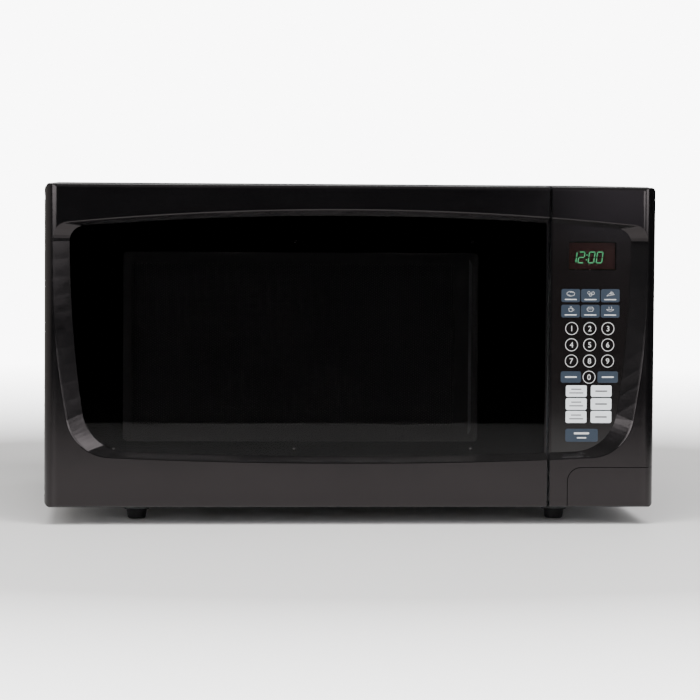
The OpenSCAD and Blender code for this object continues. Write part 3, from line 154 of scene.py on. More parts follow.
def build_wipes(tree, given):
    """Roughness of a handled gloss: broad cloudy wipes, faint fingertip marks and hair scratches."""
    cloud = noise(tree, given["Vector"], 14.0, 4.0, 0.55)
    strokes = noise(tree, stretched(tree, given["Vector"], (30.0, 30.0, 160.0)), 1.0, 3.0, 0.7)
    marks = noise(tree, given["Vector"], 60.0, 2.0, 0.4)
    marks = spread(tree, marks, 0.6, 0.75, 0.0, 0.35)
    both = maths(tree, "ADD", maths(tree, "MULTIPLY", cloud, 0.65), maths(tree, "MULTIPLY", strokes, 0.35))
    level = maths(tree, "ADD", spread(tree, both, 0.3, 0.7), marks, True)
    return {"Roughness": spread(tree, level, 0.0, 1.0, given["Low"], given["High"]), "Marks": level}


def build_wear(tree, given):
    """Rubbed edges: where a rounded normal leaves the true one, broken up by noise."""
    soft = add(tree, "Bevel", {"Radius": given["Radius"]}, samples=4).outputs["Normal"]
    true = add(tree, "NewGeometry").outputs["Normal"]
    turn = add(tree, "VectorMath", {0: soft, 1: true}, operation="DOT_PRODUCT").outputs["Value"]
    edge = spread(tree, turn, 0.99, 0.86)
    patches = noise(tree, given["Vector"], 90.0, 4.0, 0.65)
    patches = spread(tree, patches, 0.45, 0.62)
    return {"Mask": maths(tree, "MULTIPLY", maths(tree, "MULTIPLY", edge, patches), given["Amount"])}


def build_dust(tree, given):
    """Dust settled on faces that look up."""
    normal = add(tree, "NewGeometry").outputs["Normal"]
    up = add(tree, "SeparateXYZ", {0: normal}).outputs["Z"]
    up = spread(tree, up, 0.25, 0.95)
    cloud = spread(tree, noise(tree, given["Vector"], 9.0, 5.0, 0.6), 0.35, 0.7)
    motes = spread(tree, noise(tree, given["Vector"], 900.0, 1.0), 0.55, 0.75)
    both = maths(tree, "ADD", maths(tree, "MULTIPLY", cloud, 0.55), maths(tree, "MULTIPLY", motes, 0.45))
    return {"Mask": maths(tree, "MULTIPLY", maths(tree, "MULTIPLY", up, both), given["Amount"])}


def build_rolled(tree, given):
    """Rolled or drawn metal: long fine lines, with slow clouds of tarnish."""
    lines = noise(tree, stretched(tree, given["Vector"], given["Stretch"]), 1.0, 4.0, 0.7)
    clouds = noise(tree, given["Vector"], 22.0, 3.0, 0.5)
    level = maths(tree, "ADD", maths(tree, "MULTIPLY", lines, 0.6), maths(tree, "MULTIPLY", clouds, 0.4))
    rough = spread(tree, level, 0.3, 0.7, given["Low"], given["High"])
    return {"Height": lines, "Roughness": rough, "Tarnish": clouds}


def build_spangle(tree, given):
    """Zinc crystals: flat patches of slightly different grey and gloss."""
    texture = add(tree, "TexVoronoi", {"Vector": given["Vector"], "Scale": given["Scale"]})
    patch = add(tree, "SeparateColor", {0: texture.outputs["Color"]}).outputs[0]
    fine = noise(tree, given["Vector"], 1200.0, 2.0)
    return {"Patch": patch, "Roughness": spread(tree, patch, 0.0, 1.0, given["Low"], given["High"]),
            "Height": maths(tree, "ADD", maths(tree, "MULTIPLY", patch, 0.4),
                            maths(tree, "MULTIPLY", fine, 0.6))}


def build_flecks(tree, given):
    """Small round specks scattered over a surface."""
    texture = add(tree, "TexVoronoi", {"Vector": given["Vector"], "Scale": given["Scale"]})
    near = spread(tree, texture.outputs["Distance"], given["Size"],
                  maths(tree, "MULTIPLY", given["Size"], 0.6))
    pick = add(tree, "SeparateColor", {0: texture.outputs["Color"]}).outputs[1]
    some = spread(tree, pick, maths(tree, "SUBTRACT", 1.0, given["Share"]), 1.0)
    some = maths(tree, "GREATER_THAN", some, 0.0)
    return {"Mask": maths(tree, "MULTIPLY", near, some)}


VECTOR = {"Vector": ("vector", None)}
GRAIN = effect("moulded grain", {**VECTOR, "Wave Scale": ("value", 120.0), "Grain Scale": ("value", 1500.0),
               "Wave": ("value", 0.5), "Grain": ("value", 0.5)}, {"Height": "value", "Mottle": "value"},
               build_grain)
WIPES = effect("wiped gloss", {**VECTOR, "Low": ("value", 0.05), "High": ("value", 0.2)},
               {"Roughness": "value", "Marks": "value"}, build_wipes)
WEAR = effect("rubbed edges", {**VECTOR, "Radius": ("value", 0.0008), "Amount": ("value", 0.5)},
              {"Mask": "value"}, build_wear)
DUST = effect("settled dust", {**VECTOR, "Amount": ("value", 0.3)}, {"Mask": "value"}, build_dust)
ROLLED = effect("rolled metal", {**VECTOR, "Stretch": ("vector", (20.0, 900.0, 900.0)),
                "Low": ("value", 0.25), "High": ("value", 0.45)},
                {"Height": "value", "Roughness": "value", "Tarnish": "value"}, build_rolled)
SPANGLE = effect("zinc spangle", {**VECTOR, "Scale": ("value", 260.0), "Low": ("value", 0.3),
                 "High": ("value", 0.5)}, {"Patch": "value", "Roughness": "value", "Height": "value"},
                 build_spangle)
FLECKS = effect("flecks", {**VECTOR, "Scale": ("value", 500.0), "Size": ("value", 0.3),
                "Share": ("value", 0.3)}, {"Mask": "value"}, build_flecks)


# ---------------------------------------------------------------- finishes

class Finish:
    """One material: a Principled shader fed by the shared effects."""

    def __init__(self, name, colour, roughness, **sockets):
        self.material = bpy.data.materials.new(name)
        self.material.use_nodes = True
        self.tree = self.material.node_tree
        self.shader = self.tree.nodes["Principled BSDF"]
        self.place = add(self.tree, "TexCoord").outputs["Object"]
        self.colour, self.height = colour, None
        self.set("Base Color", colour)
        self.set("Roughness", roughness)
        for key, value in sockets.items():
            self.set(key.replace("_", " "), value)

    def set(self, socket, value):
        feed(self.tree, self.shader.inputs[socket], value)

    def use(self, group, **inputs):
        """Places an effect and returns its outputs."""
        node = add(self.tree, "Group", node_tree=group)
        for key, value in {"Vector": self.place, **inputs}.items():
            feed(self.tree, node.inputs[key.replace("_", " ")], value)
        return node.outputs

    def tint(self, mask, colour, kind="MIX"):
        """Mixes another colour in by a mask."""
        self.colour = blend_colour(self.tree, mask, self.colour, colour, kind)
        self.set("Base Color", self.colour)

    def relief(self, height, depth, strength=1.0):
        """Bumps the surface; depth in millimetres."""
        inputs = {"Height": height, "Distance": depth * MM, "Strength": strength}
        node = add(self.tree, "Bump", inputs)
        if self.height is not None:
            self.tree.links.new(self.height, node.inputs["Normal"])
        self.height = node.outputs["Normal"]
        self.set("Normal", self.height)


finishes = {}


def plastic(slot, colour, low, high, grain=0.02, grain_scale=1500.0, wave=0.0, **sockets):
    """Moulded plastic: grained, with handled gloss and a little dust."""
    made = Finish(slot, colour, high, **sockets)
    made.set("Roughness", made.use(WIPES, Low=low, High=high)["Roughness"])
    skin = made.use(GRAIN, Grain_Scale=grain_scale, Grain=1.0, Wave=wave)
    made.relief(skin["Height"], grain)
    made.tint(maths(made.tree, "MULTIPLY", skin["Mottle"], 0.25), grey(0.75, colour[:3]))
    made.tint(made.use(DUST, Amount=0.12)["Mask"], grey(0.22, (1.0, 0.96, 0.9)))
    finishes[slot] = made
    return made


def metal(slot, colour, low, high, stretch=(20.0, 900.0, 900.0), tarnish=(0.3, 0.28, 0.25), depth=0.01,
          **sockets):
    """Bare rolled metal, a little tarnished, with brighter rubbed edges."""
    made = Finish(slot, colour, high, Metallic=1.0, **sockets)
    sheet = made.use(ROLLED, Stretch=stretch, Low=low, High=high)
    made.set("Roughness", sheet["Roughness"])
    made.tint(spread(made.tree, sheet["Tarnish"], 0.5, 0.8, 0.0, 0.5), (*tarnish, 1.0))
    made.tint(made.use(WEAR, Radius=0.0005, Amount=0.5)["Mask"], grey(0.85))
    made.relief(sheet["Height"], depth)
    finishes[slot] = made
    return made


def glass(slot, tint, low, high, ior=1.49):
    """Clear or smoked sheet that shows what is behind it."""
    made = Finish(slot, (*tint, 1.0), high, Transmission_Weight=1.0, Metallic=0.0, IOR=ior)
    made.set("Roughness", made.use(WIPES, Low=low, High=high)["Roughness"])
    finishes[slot] = made
    return made


def powder_coat():
    """Black textured paint of the case and the rear panel."""
    made = Finish("case_paint", grey(0.012, (0.95, 0.97, 1.0)), 0.5, Specular_IOR_Level=0.45)
    skin = made.use(GRAIN, Wave_Scale=420.0, Grain_Scale=1800.0, Wave=0.75, Grain=0.35)
    cloud = made.use(WIPES, Low=0.42, High=0.6)
    made.set("Roughness", cloud["Roughness"])
    made.relief(skin["Height"], 0.12)
    made.tint(maths(made.tree, "MULTIPLY", skin["Mottle"], 0.3), grey(0.022))
    made.tint(made.use(WEAR, Radius=0.0007, Amount=0.55)["Mask"], grey(0.09))
    made.tint(made.use(DUST, Amount=0.1)["Mask"], grey(0.2, (1.0, 0.96, 0.9)))
    finishes["case_paint"] = made


def gloss_moulding():
    """Glossy black plastic of the door, the control panel and the button."""
    made = Finish("gloss_black", grey(0.0026, (1.0, 0.95, 1.05)), 0.12, Specular_IOR_Level=0.4)
    made.set("Specular Tint", (1.0, 0.9, 0.91, 1.0))
    gloss = made.use(WIPES, Low=0.09, High=0.16)
    made.set("Roughness", gloss["Roughness"])
    skin = made.use(GRAIN, Wave_Scale=160.0, Grain_Scale=2600.0, Wave=1.0, Grain=0.06)
    made.relief(skin["Height"], 0.014)
    made.tint(maths(made.tree, "MULTIPLY", gloss["Marks"], 0.2), grey(0.006))
    made.tint(made.use(DUST, Amount=0.1)["Mask"], grey(0.16, (1.0, 0.96, 0.9)))
    finishes["gloss_black"] = made


def cavity_paint():
    """Light grey baked enamel with small darker specks."""
    made = Finish("cavity_enamel", grey(0.5, (1.0, 0.985, 0.95)), 0.3)
    gloss = made.use(WIPES, Low=0.22, High=0.38)
    made.set("Roughness", gloss["Roughness"])
    dark = made.use(FLECKS, Scale=620.0, Size=0.32, Share=0.35)["Mask"]
    made.tint(maths(made.tree, "MULTIPLY", dark, 0.4), grey(0.24))
    pale = made.use(FLECKS, Scale=410.0, Size=0.3, Share=0.3)["Mask"]
    made.tint(maths(made.tree, "MULTIPLY", pale, 0.4), grey(0.75))
    skin = made.use(GRAIN, Wave_Scale=260.0, Grain_Scale=1500.0, Wave=0.9, Grain=0.2)
    made.relief(skin["Height"], 0.03)
    made.tint(made.use(WEAR, Radius=0.0006, Amount=0.12)["Mask"], grey(0.36))
    finishes["cavity_enamel"] = made


def zinc_sheet():
    """Zinc-plated sheet steel with a faint spangle."""
    made = Finish("zinc_steel", grey(0.52, (0.98, 1.0, 1.03)), 0.4, Metallic=1.0)
    crystals = made.use(SPANGLE, Scale=300.0, Low=0.3, High=0.46)
    sheet = made.use(ROLLED, Stretch=(30.0, 700.0, 700.0), Low=0.3, High=0.5)
    made.set("Roughness", maths(made.tree, "MULTIPLY", maths(made.tree, "ADD", crystals["Roughness"],
             sheet["Roughness"]), 0.5))
    made.tint(maths(made.tree, "MULTIPLY", crystals["Patch"], 0.3), grey(0.36))
    made.tint(spread(made.tree, sheet["Tarnish"], 0.55, 0.85, 0.0, 0.35), grey(0.3, (1.0, 0.93, 0.8)))
    made.tint(made.use(WEAR, Radius=0.0005, Amount=0.4)["Mask"], grey(0.8))
    made.relief(crystals["Height"], 0.01)
    finishes["zinc_steel"] = made


def circuit_board():
    """Green solder resist over copper tracks, with bright solder spots."""
    made = Finish("board_green", (0.01, 0.09, 0.03, 1.0), 0.3, Coat_Weight=0.4)
    made.set("Coat Roughness", 0.1)
    inputs = {"Vector": made.place, "Scale": 90.0, "Mortar Size": 0.018, "Brick Width": 0.9,
              "Row Height": 0.22, "Color1": grey(0.0), "Color2": grey(0.15), "Mortar": grey(1.0)}
    tracks = add(made.tree, "TexBrick", inputs).outputs["Color"]
    made.tint(maths(made.tree, "MULTIPLY", tracks, 0.6), (0.03, 0.2, 0.06, 1.0))
    pads = made.use(FLECKS, Scale=190.0, Size=0.22, Share=0.5)["Mask"]
    made.tint(pads, (0.55, 0.55, 0.52, 1.0))
    made.set("Metallic", maths(made.tree, "MULTIPLY", pads, 0.8))
    made.relief(tracks, 0.03)
    made.set("Roughness", made.use(WIPES, Low=0.22, High=0.42)["Roughness"])
    finishes["board_green"] = made


def wound_copper():
    """Enamelled wire laid in neat turns, with painted shade in the valleys between the turns."""
    made = Finish("winding_copper", (0.42, 0.14, 0.045, 1.0), 0.3, Metallic=0.85, Coat_Weight=0.5)
    inputs = {"Vector": made.place, "Scale": 260.0, "Distortion": 0.6, "Detail": 1.0, "Detail Scale": 2.0}
    turns = add(made.tree, "TexWave", inputs, wave_type="BANDS", bands_direction="Z").outputs["Fac"]
    made.relief(turns, 0.35)
    # painted shade: the copper is darkened in the valleys between the turns
    made.tint(spread(made.tree, turns, 0.35, 0.0, 0.0, 0.8), (0.1, 0.03, 0.012, 1.0))
    made.set("Roughness", made.use(WIPES, Low=0.2, High=0.42)["Roughness"])
    finishes["winding_copper"] = made


def laminated_core():
    """Stacked steel laminations under dark varnish."""
    made = Finish("core_steel", grey(0.09, (1.0, 0.98, 0.95)), 0.4, Metallic=0.7, Coat_Weight=0.3)
    inputs = {"Vector": made.place, "Scale": 330.0, "Distortion": 0.15}
    sheets = add(made.tree, "TexWave", inputs, wave_type="BANDS", bands_direction="Y").outputs["Fac"]
    made.relief(sheets, 0.15)
    made.tint(spread(made.tree, sheets, 0.3, 0.0, 0.0, 0.7), grey(0.02))
    rust = noise(made.tree, made.place, 70.0, 5.0, 0.7)
    made.tint(spread(made.tree, rust, 0.58, 0.75, 0.0, 0.6), (0.16, 0.055, 0.02, 1.0))
    made.set("Roughness", made.use(WIPES, Low=0.3, High=0.6)["Roughness"])
    finishes["core_steel"] = made


def mica_sheet():
    """Pressed mica: pale brown with glinting flakes."""
    made = Finish("mica", (0.5, 0.42, 0.3, 1.0), 0.4)
    flakes = made.use(SPANGLE, Scale=220.0, Low=0.25, High=0.55)
    made.set("Roughness", flakes["Roughness"])
    made.tint(maths(made.tree, "MULTIPLY", flakes["Patch"], 0.6), (0.68, 0.6, 0.46, 1.0))
    made.relief(flakes["Height"], 0.04)
    finishes["mica"] = made


def ribbon():
    """Clear film with carbon tracks."""
    made = Finish("ribbon_film", grey(0.62, (1.0, 0.99, 0.94)), 0.3)
    inputs = {"Vector": made.place, "Scale": 120.0}
    tracks = add(made.tree, "TexWave", inputs, wave_type="BANDS", bands_direction="X").outputs["Fac"]
    tracks = spread(made.tree, tracks, 0.55, 0.65)
    made.tint(tracks, grey(0.1))
    made.relief(tracks, 0.02)
    made.set("Roughness", made.use(WIPES, Low=0.2, High=0.35)["Roughness"])
    finishes["ribbon_film"] = made


powder_coat()
gloss_moulding()
cavity_paint()
zinc_sheet()
circuit_board()
wound_copper()
laminated_core()
mica_sheet()
ribbon()
plastic("foot_rubber", grey(0.014), 0.45, 0.7, grain=0.06)
plastic("grommet_rubber", grey(0.011), 0.5, 0.75, grain=0.05)
plastic("dark_plastic", grey(0.016), 0.38, 0.55, grain=0.05)
plastic("screen_black", grey(0.03), 0.4, 0.55, grain=0.03, grain_scale=900.0)
plastic("display_dark", (0.16, 0.125, 0.118, 1.0), 0.3, 0.45, grain=0.01)
plastic("keypad_film", (0.0055, 0.0045, 0.0045, 1.0), 0.09, 0.16, grain=0.004, grain_scale=2200.0)
plastic("white_plastic", grey(0.68, (1.0, 0.98, 0.93)), 0.35, 0.5, grain=0.03, Subsurface_Weight=0.1)
plastic("cutout_ceramic", grey(0.6, (1.0, 0.96, 0.88)), 0.45, 0.65, grain=0.05)
metal("screw_steel", grey(0.56), 0.22, 0.4, stretch=(300.0, 300.0, 300.0))
metal("black_screw", grey(0.035), 0.32, 0.5, stretch=(300.0, 300.0, 300.0), tarnish=(0.02, 0.02, 0.02))
metal("fin_aluminium", grey(0.76, (0.98, 0.99, 1.0)), 0.25, 0.42, tarnish=(0.6, 0.6, 0.58))
metal("yoke_steel", grey(0.5, (1.0, 0.97, 0.88)), 0.28, 0.45, tarnish=(0.42, 0.36, 0.24))
metal("anode_copper", (0.78, 0.4, 0.25, 1.0), 0.22, 0.42, stretch=(700.0, 60.0, 700.0),
      tarnish=(0.4, 0.16, 0.08))
glass("smoked_window", (0.28, 0.27, 0.27), 0.006, 0.02, ior=1.27)
glass("display_lens", (0.42, 0.33, 0.32), 0.05, 0.12)
glass("clear_film", (0.86, 0.88, 0.87), 0.04, 0.12)
glass("lamp_glass", (0.95, 0.95, 0.93), 0.02, 0.06)
tray = glass("tray_glass", (0.9, 0.955, 0.945), 0.015, 0.05)
ripple = tray.use(GRAIN, Wave_Scale=90.0, Grain_Scale=900.0, Wave=1.0, Grain=0.05)
tray.relief(ripple["Height"], 0.05)

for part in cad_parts.values():
    for index, imported in enumerate(part.data.materials):
        part.data.materials[index] = finishes[imported.name.split(".")[0]].material


# ---------------------------------------------------------------- mesh helpers, millimetres

def piece(name, mesh, body, finish):
    """A finished mesh, riding on its body."""
    made = bpy.data.objects.new(name, mesh)
    bpy.context.scene.collection.objects.link(made)
    mesh.materials.append(finish.material)
    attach(made, body)
    return made


def as_mesh(name, build):
    """The mesh that a bmesh ends as, scaled to metres."""
    bmesh.ops.scale(build, vec=(MM, MM, MM), verts=build.verts)
    mesh = bpy.data.meshes.new(name)
    build.to_mesh(mesh)
    build.free()
    return mesh


def slab(build, outline, front, back):
    """A closed plate with the outline in X and Z, between two depths."""
    near = [build.verts.new((x, front, z)) for x, z in outline]
    far = [build.verts.new((x, back, z)) for x, z in outline]
    build.faces.new(near)
    build.faces.new(far[::-1])
    for i in range(len(outline)):
        j = (i + 1) % len(outline)
        build.faces.new((near[j], near[i], far[i], far[j]))


def band(build, inner, outer, front, back, closed=True):
    """A closed strip between two outlines of equal length."""
    rows = [[build.verts.new((x, y, z)) for x, z in line]
            for line, y in ((inner, front), (outer, front), (outer, back), (inner, back))]
    count = len(inner)
    for i in range(count if closed else count - 1):
        j = (i + 1) % count
        for k in range(4):
            a, b = rows[k], rows[(k + 1) % 4]
            build.faces.new((a[i], a[j], b[j], b[i]))
    if not closed:
        build.faces.new([row[0] for row in rows])
        build.faces.new([row[-1] for row in rows[::-1]])


def rounded(x0, x1, z0, z1, r, steps=5):
    """A rectangle with rounded corners, counter-clockwise from the lower right."""
    corners = ((x1 - r, z0 + r, -90), (x1 - r, z1 - r, 0), (x0 + r, z1 - r, 90), (x0 + r, z0 + r, 180))
    return [(cx + r * math.cos(math.radians(start + 90 * i / steps)),
             cz + r * math.sin(math.radians(start + 90 * i / steps)))
            for cx, cz, start in corners for i in range(steps + 1)]


def circle(cx, cz, r, steps=40, start=0.0, turn=360.0):
    """Points on a circle or an arc."""
    count = steps if turn == 360.0 else steps + 1
    return [(cx + r * math.cos(math.radians(start + turn * i / steps)),
             cz + r * math.sin(math.radians(start + turn * i / steps))) for i in range(count)]


def stroke(build, line, width, front, back, closed=False):
    """A drawn line of even width through points in X and Z."""
    count = len(line)
    sides = ([], [])
    for i, (x, z) in enumerate(line):
        before = line[i - 1] if i or closed else line[i]
        after = line[(i + 1) % count] if i < count - 1 or closed else line[i]
        a, b = Vector((x - before[0], z - before[1])), Vector((after[0] - x, after[1] - z))
        arriving = a.normalized() if a.length else b.normalized()
        leaving = b.normalized() if b.length else a.normalized()
        along = arriving + leaving
        along.normalize()
        normal = Vector((-along.y, along.x))
        mitre = abs(normal.dot(Vector((-a.y, a.x)).normalized())) if a.length else 1.0
        reach = width / 2 / max(0.5, mitre)
        for side, sign in zip(sides, (1, -1)):
            side.append((x + sign * normal.x * reach, z + sign * normal.y * reach))
    band(build, sides[0], sides[1], front, back, closed)


def outward(build):
    """Turns all faces of closed shells outwards."""
    bmesh.ops.recalc_face_normals(build, faces=build.faces)


# ---------------------------------------------------------------- springs

def coil(name, node, axis):
    """The spring of a CAD node as a steel copy standing in its place; the CAD node is hidden."""
    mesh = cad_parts[node].data.copy()
    mesh.materials.clear()
    mesh.materials.append(finishes["screw_steel"].material)
    made = bpy.data.objects.new(name, mesh)
    bpy.context.scene.collection.objects.link(made)
    low, high = (Vector(corner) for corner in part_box(node))
    start = (low + high) / 2
    end = start.copy()
    start[axis], end[axis] = low[axis], high[axis]
    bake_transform(made)
    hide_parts(node)


coil("button_coil", "button_spring", 1)
coil("latch_coil", "latch_spring", 2)


# ---------------------------------------------------------------- door screen and window border

screen_low, screen_high = (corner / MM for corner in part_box("door_screen"))
MARGIN = 12.0
SCREEN_X = (screen_low.x + MARGIN, screen_high.x - MARGIN)
SCREEN_Z = (screen_low.z + MARGIN, screen_high.z - MARGIN)
PITCH_X, PITCH_Z, HOLE_R = 2.0, 2.3, 0.78


def screen_half(name, columns, x_edges):
    """Half of the perforated sheet: a plain margin, and staggered holes cut through."""
    lo, hi = screen_low, screen_high
    front, back = lo.y, hi.y
    flank = PITCH_X / 2 - PITCH_Z ** 2 / 8 / PITCH_X
    cell = [(PITCH_X - flank, 0.0), (flank, PITCH_Z / 2), (-flank, PITCH_Z / 2),
            (flank - PITCH_X, 0.0), (-flank, -PITCH_Z / 2), (flank, -PITCH_Z / 2)]
    build = bmesh.new()
    known = {}

    def corner(x, y, z):
        key = (round(x * 50), round(y * 50), round(z * 50))
        if key not in known:
            known[key] = build.verts.new((x, y, z))
        return known[key]

    rows = int((SCREEN_Z[1] - SCREEN_Z[0]) / PITCH_Z)
    last = int((SCREEN_X[1] - SCREEN_X[0]) / PITCH_X)
    for column in columns:
        cx = SCREEN_X[0] + PITCH_X * (column + 0.5)
        shift = PITCH_Z / 2 if column % 2 else 0.0
        for row in range(-1, rows + 1):
            cz = SCREEN_Z[0] + PITCH_Z * (row + 0.5) + shift
            plain = row in (-1, rows) or (row == rows - 1 and shift) or column in (-1, last)
            rims = [[corner(cx + dx, y, cz + dz) for dx, dz in cell] for y in (front, back)]
            if plain:
                build.faces.new(rims[0])
                build.faces.new(rims[1][::-1])
                continue
            hole = [(HOLE_R * math.cos(math.radians(60 * i)), HOLE_R * math.sin(math.radians(60 * i)))
                    for i in range(6)]
            lips = [[build.verts.new((cx + dx, y, cz + dz)) for dx, dz in hole] for y in (front, back)]
            for i in range(6):
                j = (i + 1) % 6
                build.faces.new((rims[0][i], rims[0][j], lips[0][j], lips[0][i]))
                build.faces.new((rims[1][j], rims[1][i], lips[1][i], lips[1][j]))
                build.faces.new((lips[0][i], lips[0][j], lips[1][j], lips[1][i]))
    skin = 0.01
    x0, x1 = x_edges
    z0, z1 = SCREEN_Z[0] - PITCH_Z * 0.6, SCREEN_Z[0] + PITCH_Z * (rows + 0.35)
    side = (x0 if x0 > lo.x else None, x1 if x1 < hi.x else None)
    inner_0 = side[0] if side[0] is not None else SCREEN_X[0] - PITCH_X * 0.5
    inner_1 = side[1] if side[1] is not None else SCREEN_X[0] + PITCH_X * (last + 0.5)
    strips = ((x0, x1, lo.z, z0), (x0, x1, z1, hi.z), (x0, inner_0, z0, z1), (inner_1, x1, z0, z1))
    for a, b, c, d in strips:
        if b - a > skin:
            slab(build, [(a, c), (b, c), (b, d), (a, d)], front - skin, back + skin)
    sheet = piece(name, as_mesh(name, build), "door", finishes["screen_black"])
    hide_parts("door_screen")
    return sheet


columns_all = int((SCREEN_X[1] - SCREEN_X[0]) / PITCH_X)
middle = columns_all // 2
split = SCREEN_X[0] + PITCH_X * middle
screen_half("screen_sheet_left", range(-1, middle), (screen_low.x, split))
screen_half("screen_sheet_right", range(middle, columns_all + 1), (split, screen_high.x))

# printed border on the back of the window: its edges from the screen's left, right, bottom and top
BORDER_INNER = (10, 2, 2, -7)
BORDER_OUTER = (-36, 64, -8, 21)
BORDER_R, BORDER_STEPS = 9, 8
BORDER_NEAR, BORDER_FAR = 0.02, 0.06


def border_edge(left, right, bottom, top):
    """A rounded outline this far from the edges of the screen."""
    return rounded(screen_low.x + left, screen_high.x + right, screen_low.z + bottom, screen_high.z + top,
                   BORDER_R, BORDER_STEPS)


window_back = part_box("door_window")[1].y / MM
border_mesh = bmesh.new()
band(border_mesh, border_edge(*BORDER_INNER), border_edge(*BORDER_OUTER),
     window_back + BORDER_NEAR, window_back + BORDER_FAR)
outward(border_mesh)
piece("window_border", as_mesh("window_border", border_mesh), "door", finishes["screen_black"])


# ---------------------------------------------------------------- keypad printing

def ink(name, colour, roughness):
    """Screen-printed ink: slightly uneven, slightly proud."""
    made = Finish(name, colour, roughness)
    skin = made.use(GRAIN, Wave_Scale=500.0, Grain_Scale=4000.0, Wave=0.6, Grain=0.5)
    made.relief(skin["Height"], 0.01)
    made.tint(maths(made.tree, "MULTIPLY", skin["Mottle"], 0.2), grey(0.8, colour[:3]))
    made.set("Roughness", made.use(WIPES, Low=roughness * 0.8, High=roughness * 1.4)["Roughness"])
    return made


blue_ink = ink("blue_ink", (0.02, 0.032, 0.05, 1.0), 0.3)
white_ink = ink("white_ink", grey(0.8, (0.96, 1.0, 1.03)), 0.35)
line_ink = ink("line_ink", grey(0.62), 0.4)
dark_ink = ink("dark_ink", grey(0.03), 0.4)

film_low, film_high = (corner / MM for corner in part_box("keypad_overlay"))
FILM_Y, FILM_RIM, PAD_T, MARK_T = film_low.y, 1.3, 0.12, 0.05
keys_top = film_high.z - FILM_RIM


def on_film(box):
    """A key's box from its left and right off the film's edge, and its top and bottom below keys_top."""
    return (film_low.x + box[0], film_low.x + box[1], keys_top - box[3], keys_top - box[2])


FOOD_COLUMNS = ((8.2, 25.3), (26.2, 43.4), (44.3, 61.5))
FOOD_ROWS = ((57.8, 69.7), (72.1, 83.7))
WHITE_COLUMNS = ((13.2, 32.3), (36.1, 55.1))
WHITE_ROWS = ((145.4, 155.8), (157.0, 167.7), (168.7, 179.6))
DIGIT_COLUMNS = [film_low.x + x for x in (17.9, 34.5, 51.1)]
DIGIT_ROWS = [keys_top - down for down in (93.7, 108.5, 123.2)]
ZERO = (film_low.x + 34.3, keys_top - 137.9)
side_keys = [on_film((*sides, 132.6, 143.0)) for sides in ((8.3, 26.9), (42.0, 60.8))]
start_key = on_film((13.1, 42.9, 185.0, 196.8))


def pads(name, boxes, r, finish):
    """Key pads in one print, with softened rims."""
    build = bmesh.new()
    for x0, x1, z0, z1 in boxes:
        slab(build, rounded(x0, x1, z0, z1, r), FILM_Y - PAD_T, FILM_Y)
    outward(build)
    made = piece(name, as_mesh(name, build), "root", finish)
    rim = made.modifiers.new("rim", "BEVEL")
    rim.width, rim.segments, rim.limit_method = 0.06 * MM, 2, "ANGLE"
    return made


food_keys = [on_film((*column, *row)) for row in FOOD_ROWS for column in FOOD_COLUMNS]
white_keys = [on_film((*column, *row)) for row in WHITE_ROWS for column in WHITE_COLUMNS]
pads("blue_keys", food_keys + side_keys + [start_key], 1.8, blue_ink)
pads("white_keys", white_keys, 1.6, white_ink)

RING_INNER, RING_OUTER, RING_STEPS = 5.3, 5.8, 48
rings = bmesh.new()
for cx, cz in [(x, z) for z in DIGIT_ROWS for x in DIGIT_COLUMNS] + [ZERO]:
    inner, outer = (circle(cx, cz, r, RING_STEPS) for r in (RING_INNER, RING_OUTER))
    band(rings, inner, outer, FILM_Y - MARK_T, FILM_Y)
outward(rings)
piece("digit_rings", as_mesh("digit_rings", rings), "root", line_ink)


def numerals(name, signs, finish, y):
    """Numbers as one mesh: (number, centre x, centre z, height, widest)."""
    build = bmesh.new()
    for text, cx, cz, cap, widest in signs:
        curve = bpy.data.curves.new("numeral", "FONT")
        curve.body, curve.extrude = text, MARK_T / 2
        holder = bpy.data.objects.new("numeral", curve)
        bpy.context.scene.collection.objects.link(holder)
        bpy.context.view_layer.update()
        shaped = holder.evaluated_get(bpy.context.evaluated_depsgraph_get())
        solid = bpy.data.meshes.new_from_object(shaped)
        bpy.data.objects.remove(holder)
        xs, ys = [v.co.x for v in solid.vertices], [v.co.y for v in solid.vertices]
        size = cap / (max(ys) - min(ys))
        wide = min(size, widest / (max(xs) - min(xs)))
        turn = Matrix(((wide, 0, 0, cx - wide * (max(xs) + min(xs)) / 2), (0, 0, -1, y - MARK_T / 2),
                       (0, size, 0, cz - size * (max(ys) + min(ys)) / 2), (0, 0, 0, 1)))
        solid.transform(turn)
        build.from_mesh(solid)
        bpy.data.meshes.remove(solid)
    bmesh.ops.remove_doubles(build, verts=build.verts, dist=1e-5)
    return piece(name, as_mesh(name, build), "root", finish)


DIGIT_TALL, ZERO_TALL, DIGIT_WIDE = 4.8, 5.0, 5.0
digits = [(str(3 * i + j + 1), DIGIT_COLUMNS[j], DIGIT_ROWS[i], DIGIT_TALL, DIGIT_WIDE)
          for i in range(3) for j in range(3)]
numerals("digit_marks", digits + [("0", *ZERO, ZERO_TALL, DIGIT_WIDE)], line_ink, FILM_Y)


BAR_ROUND = 0.45


def label_bars(name, bars, finish):
    """Plain rounded bars where a key carries its label: (centre x, centre z, width, height)."""
    build = bmesh.new()
    for cx, cz, width, height in bars:
        outline = rounded(cx - width / 2, cx + width / 2, cz - height / 2, cz + height / 2,
                          height * BAR_ROUND, 3)
        slab(build, outline, FILM_Y - PAD_T - MARK_T, FILM_Y - PAD_T)
    outward(build)
    return piece(name, as_mesh(name, build), "root", finish)


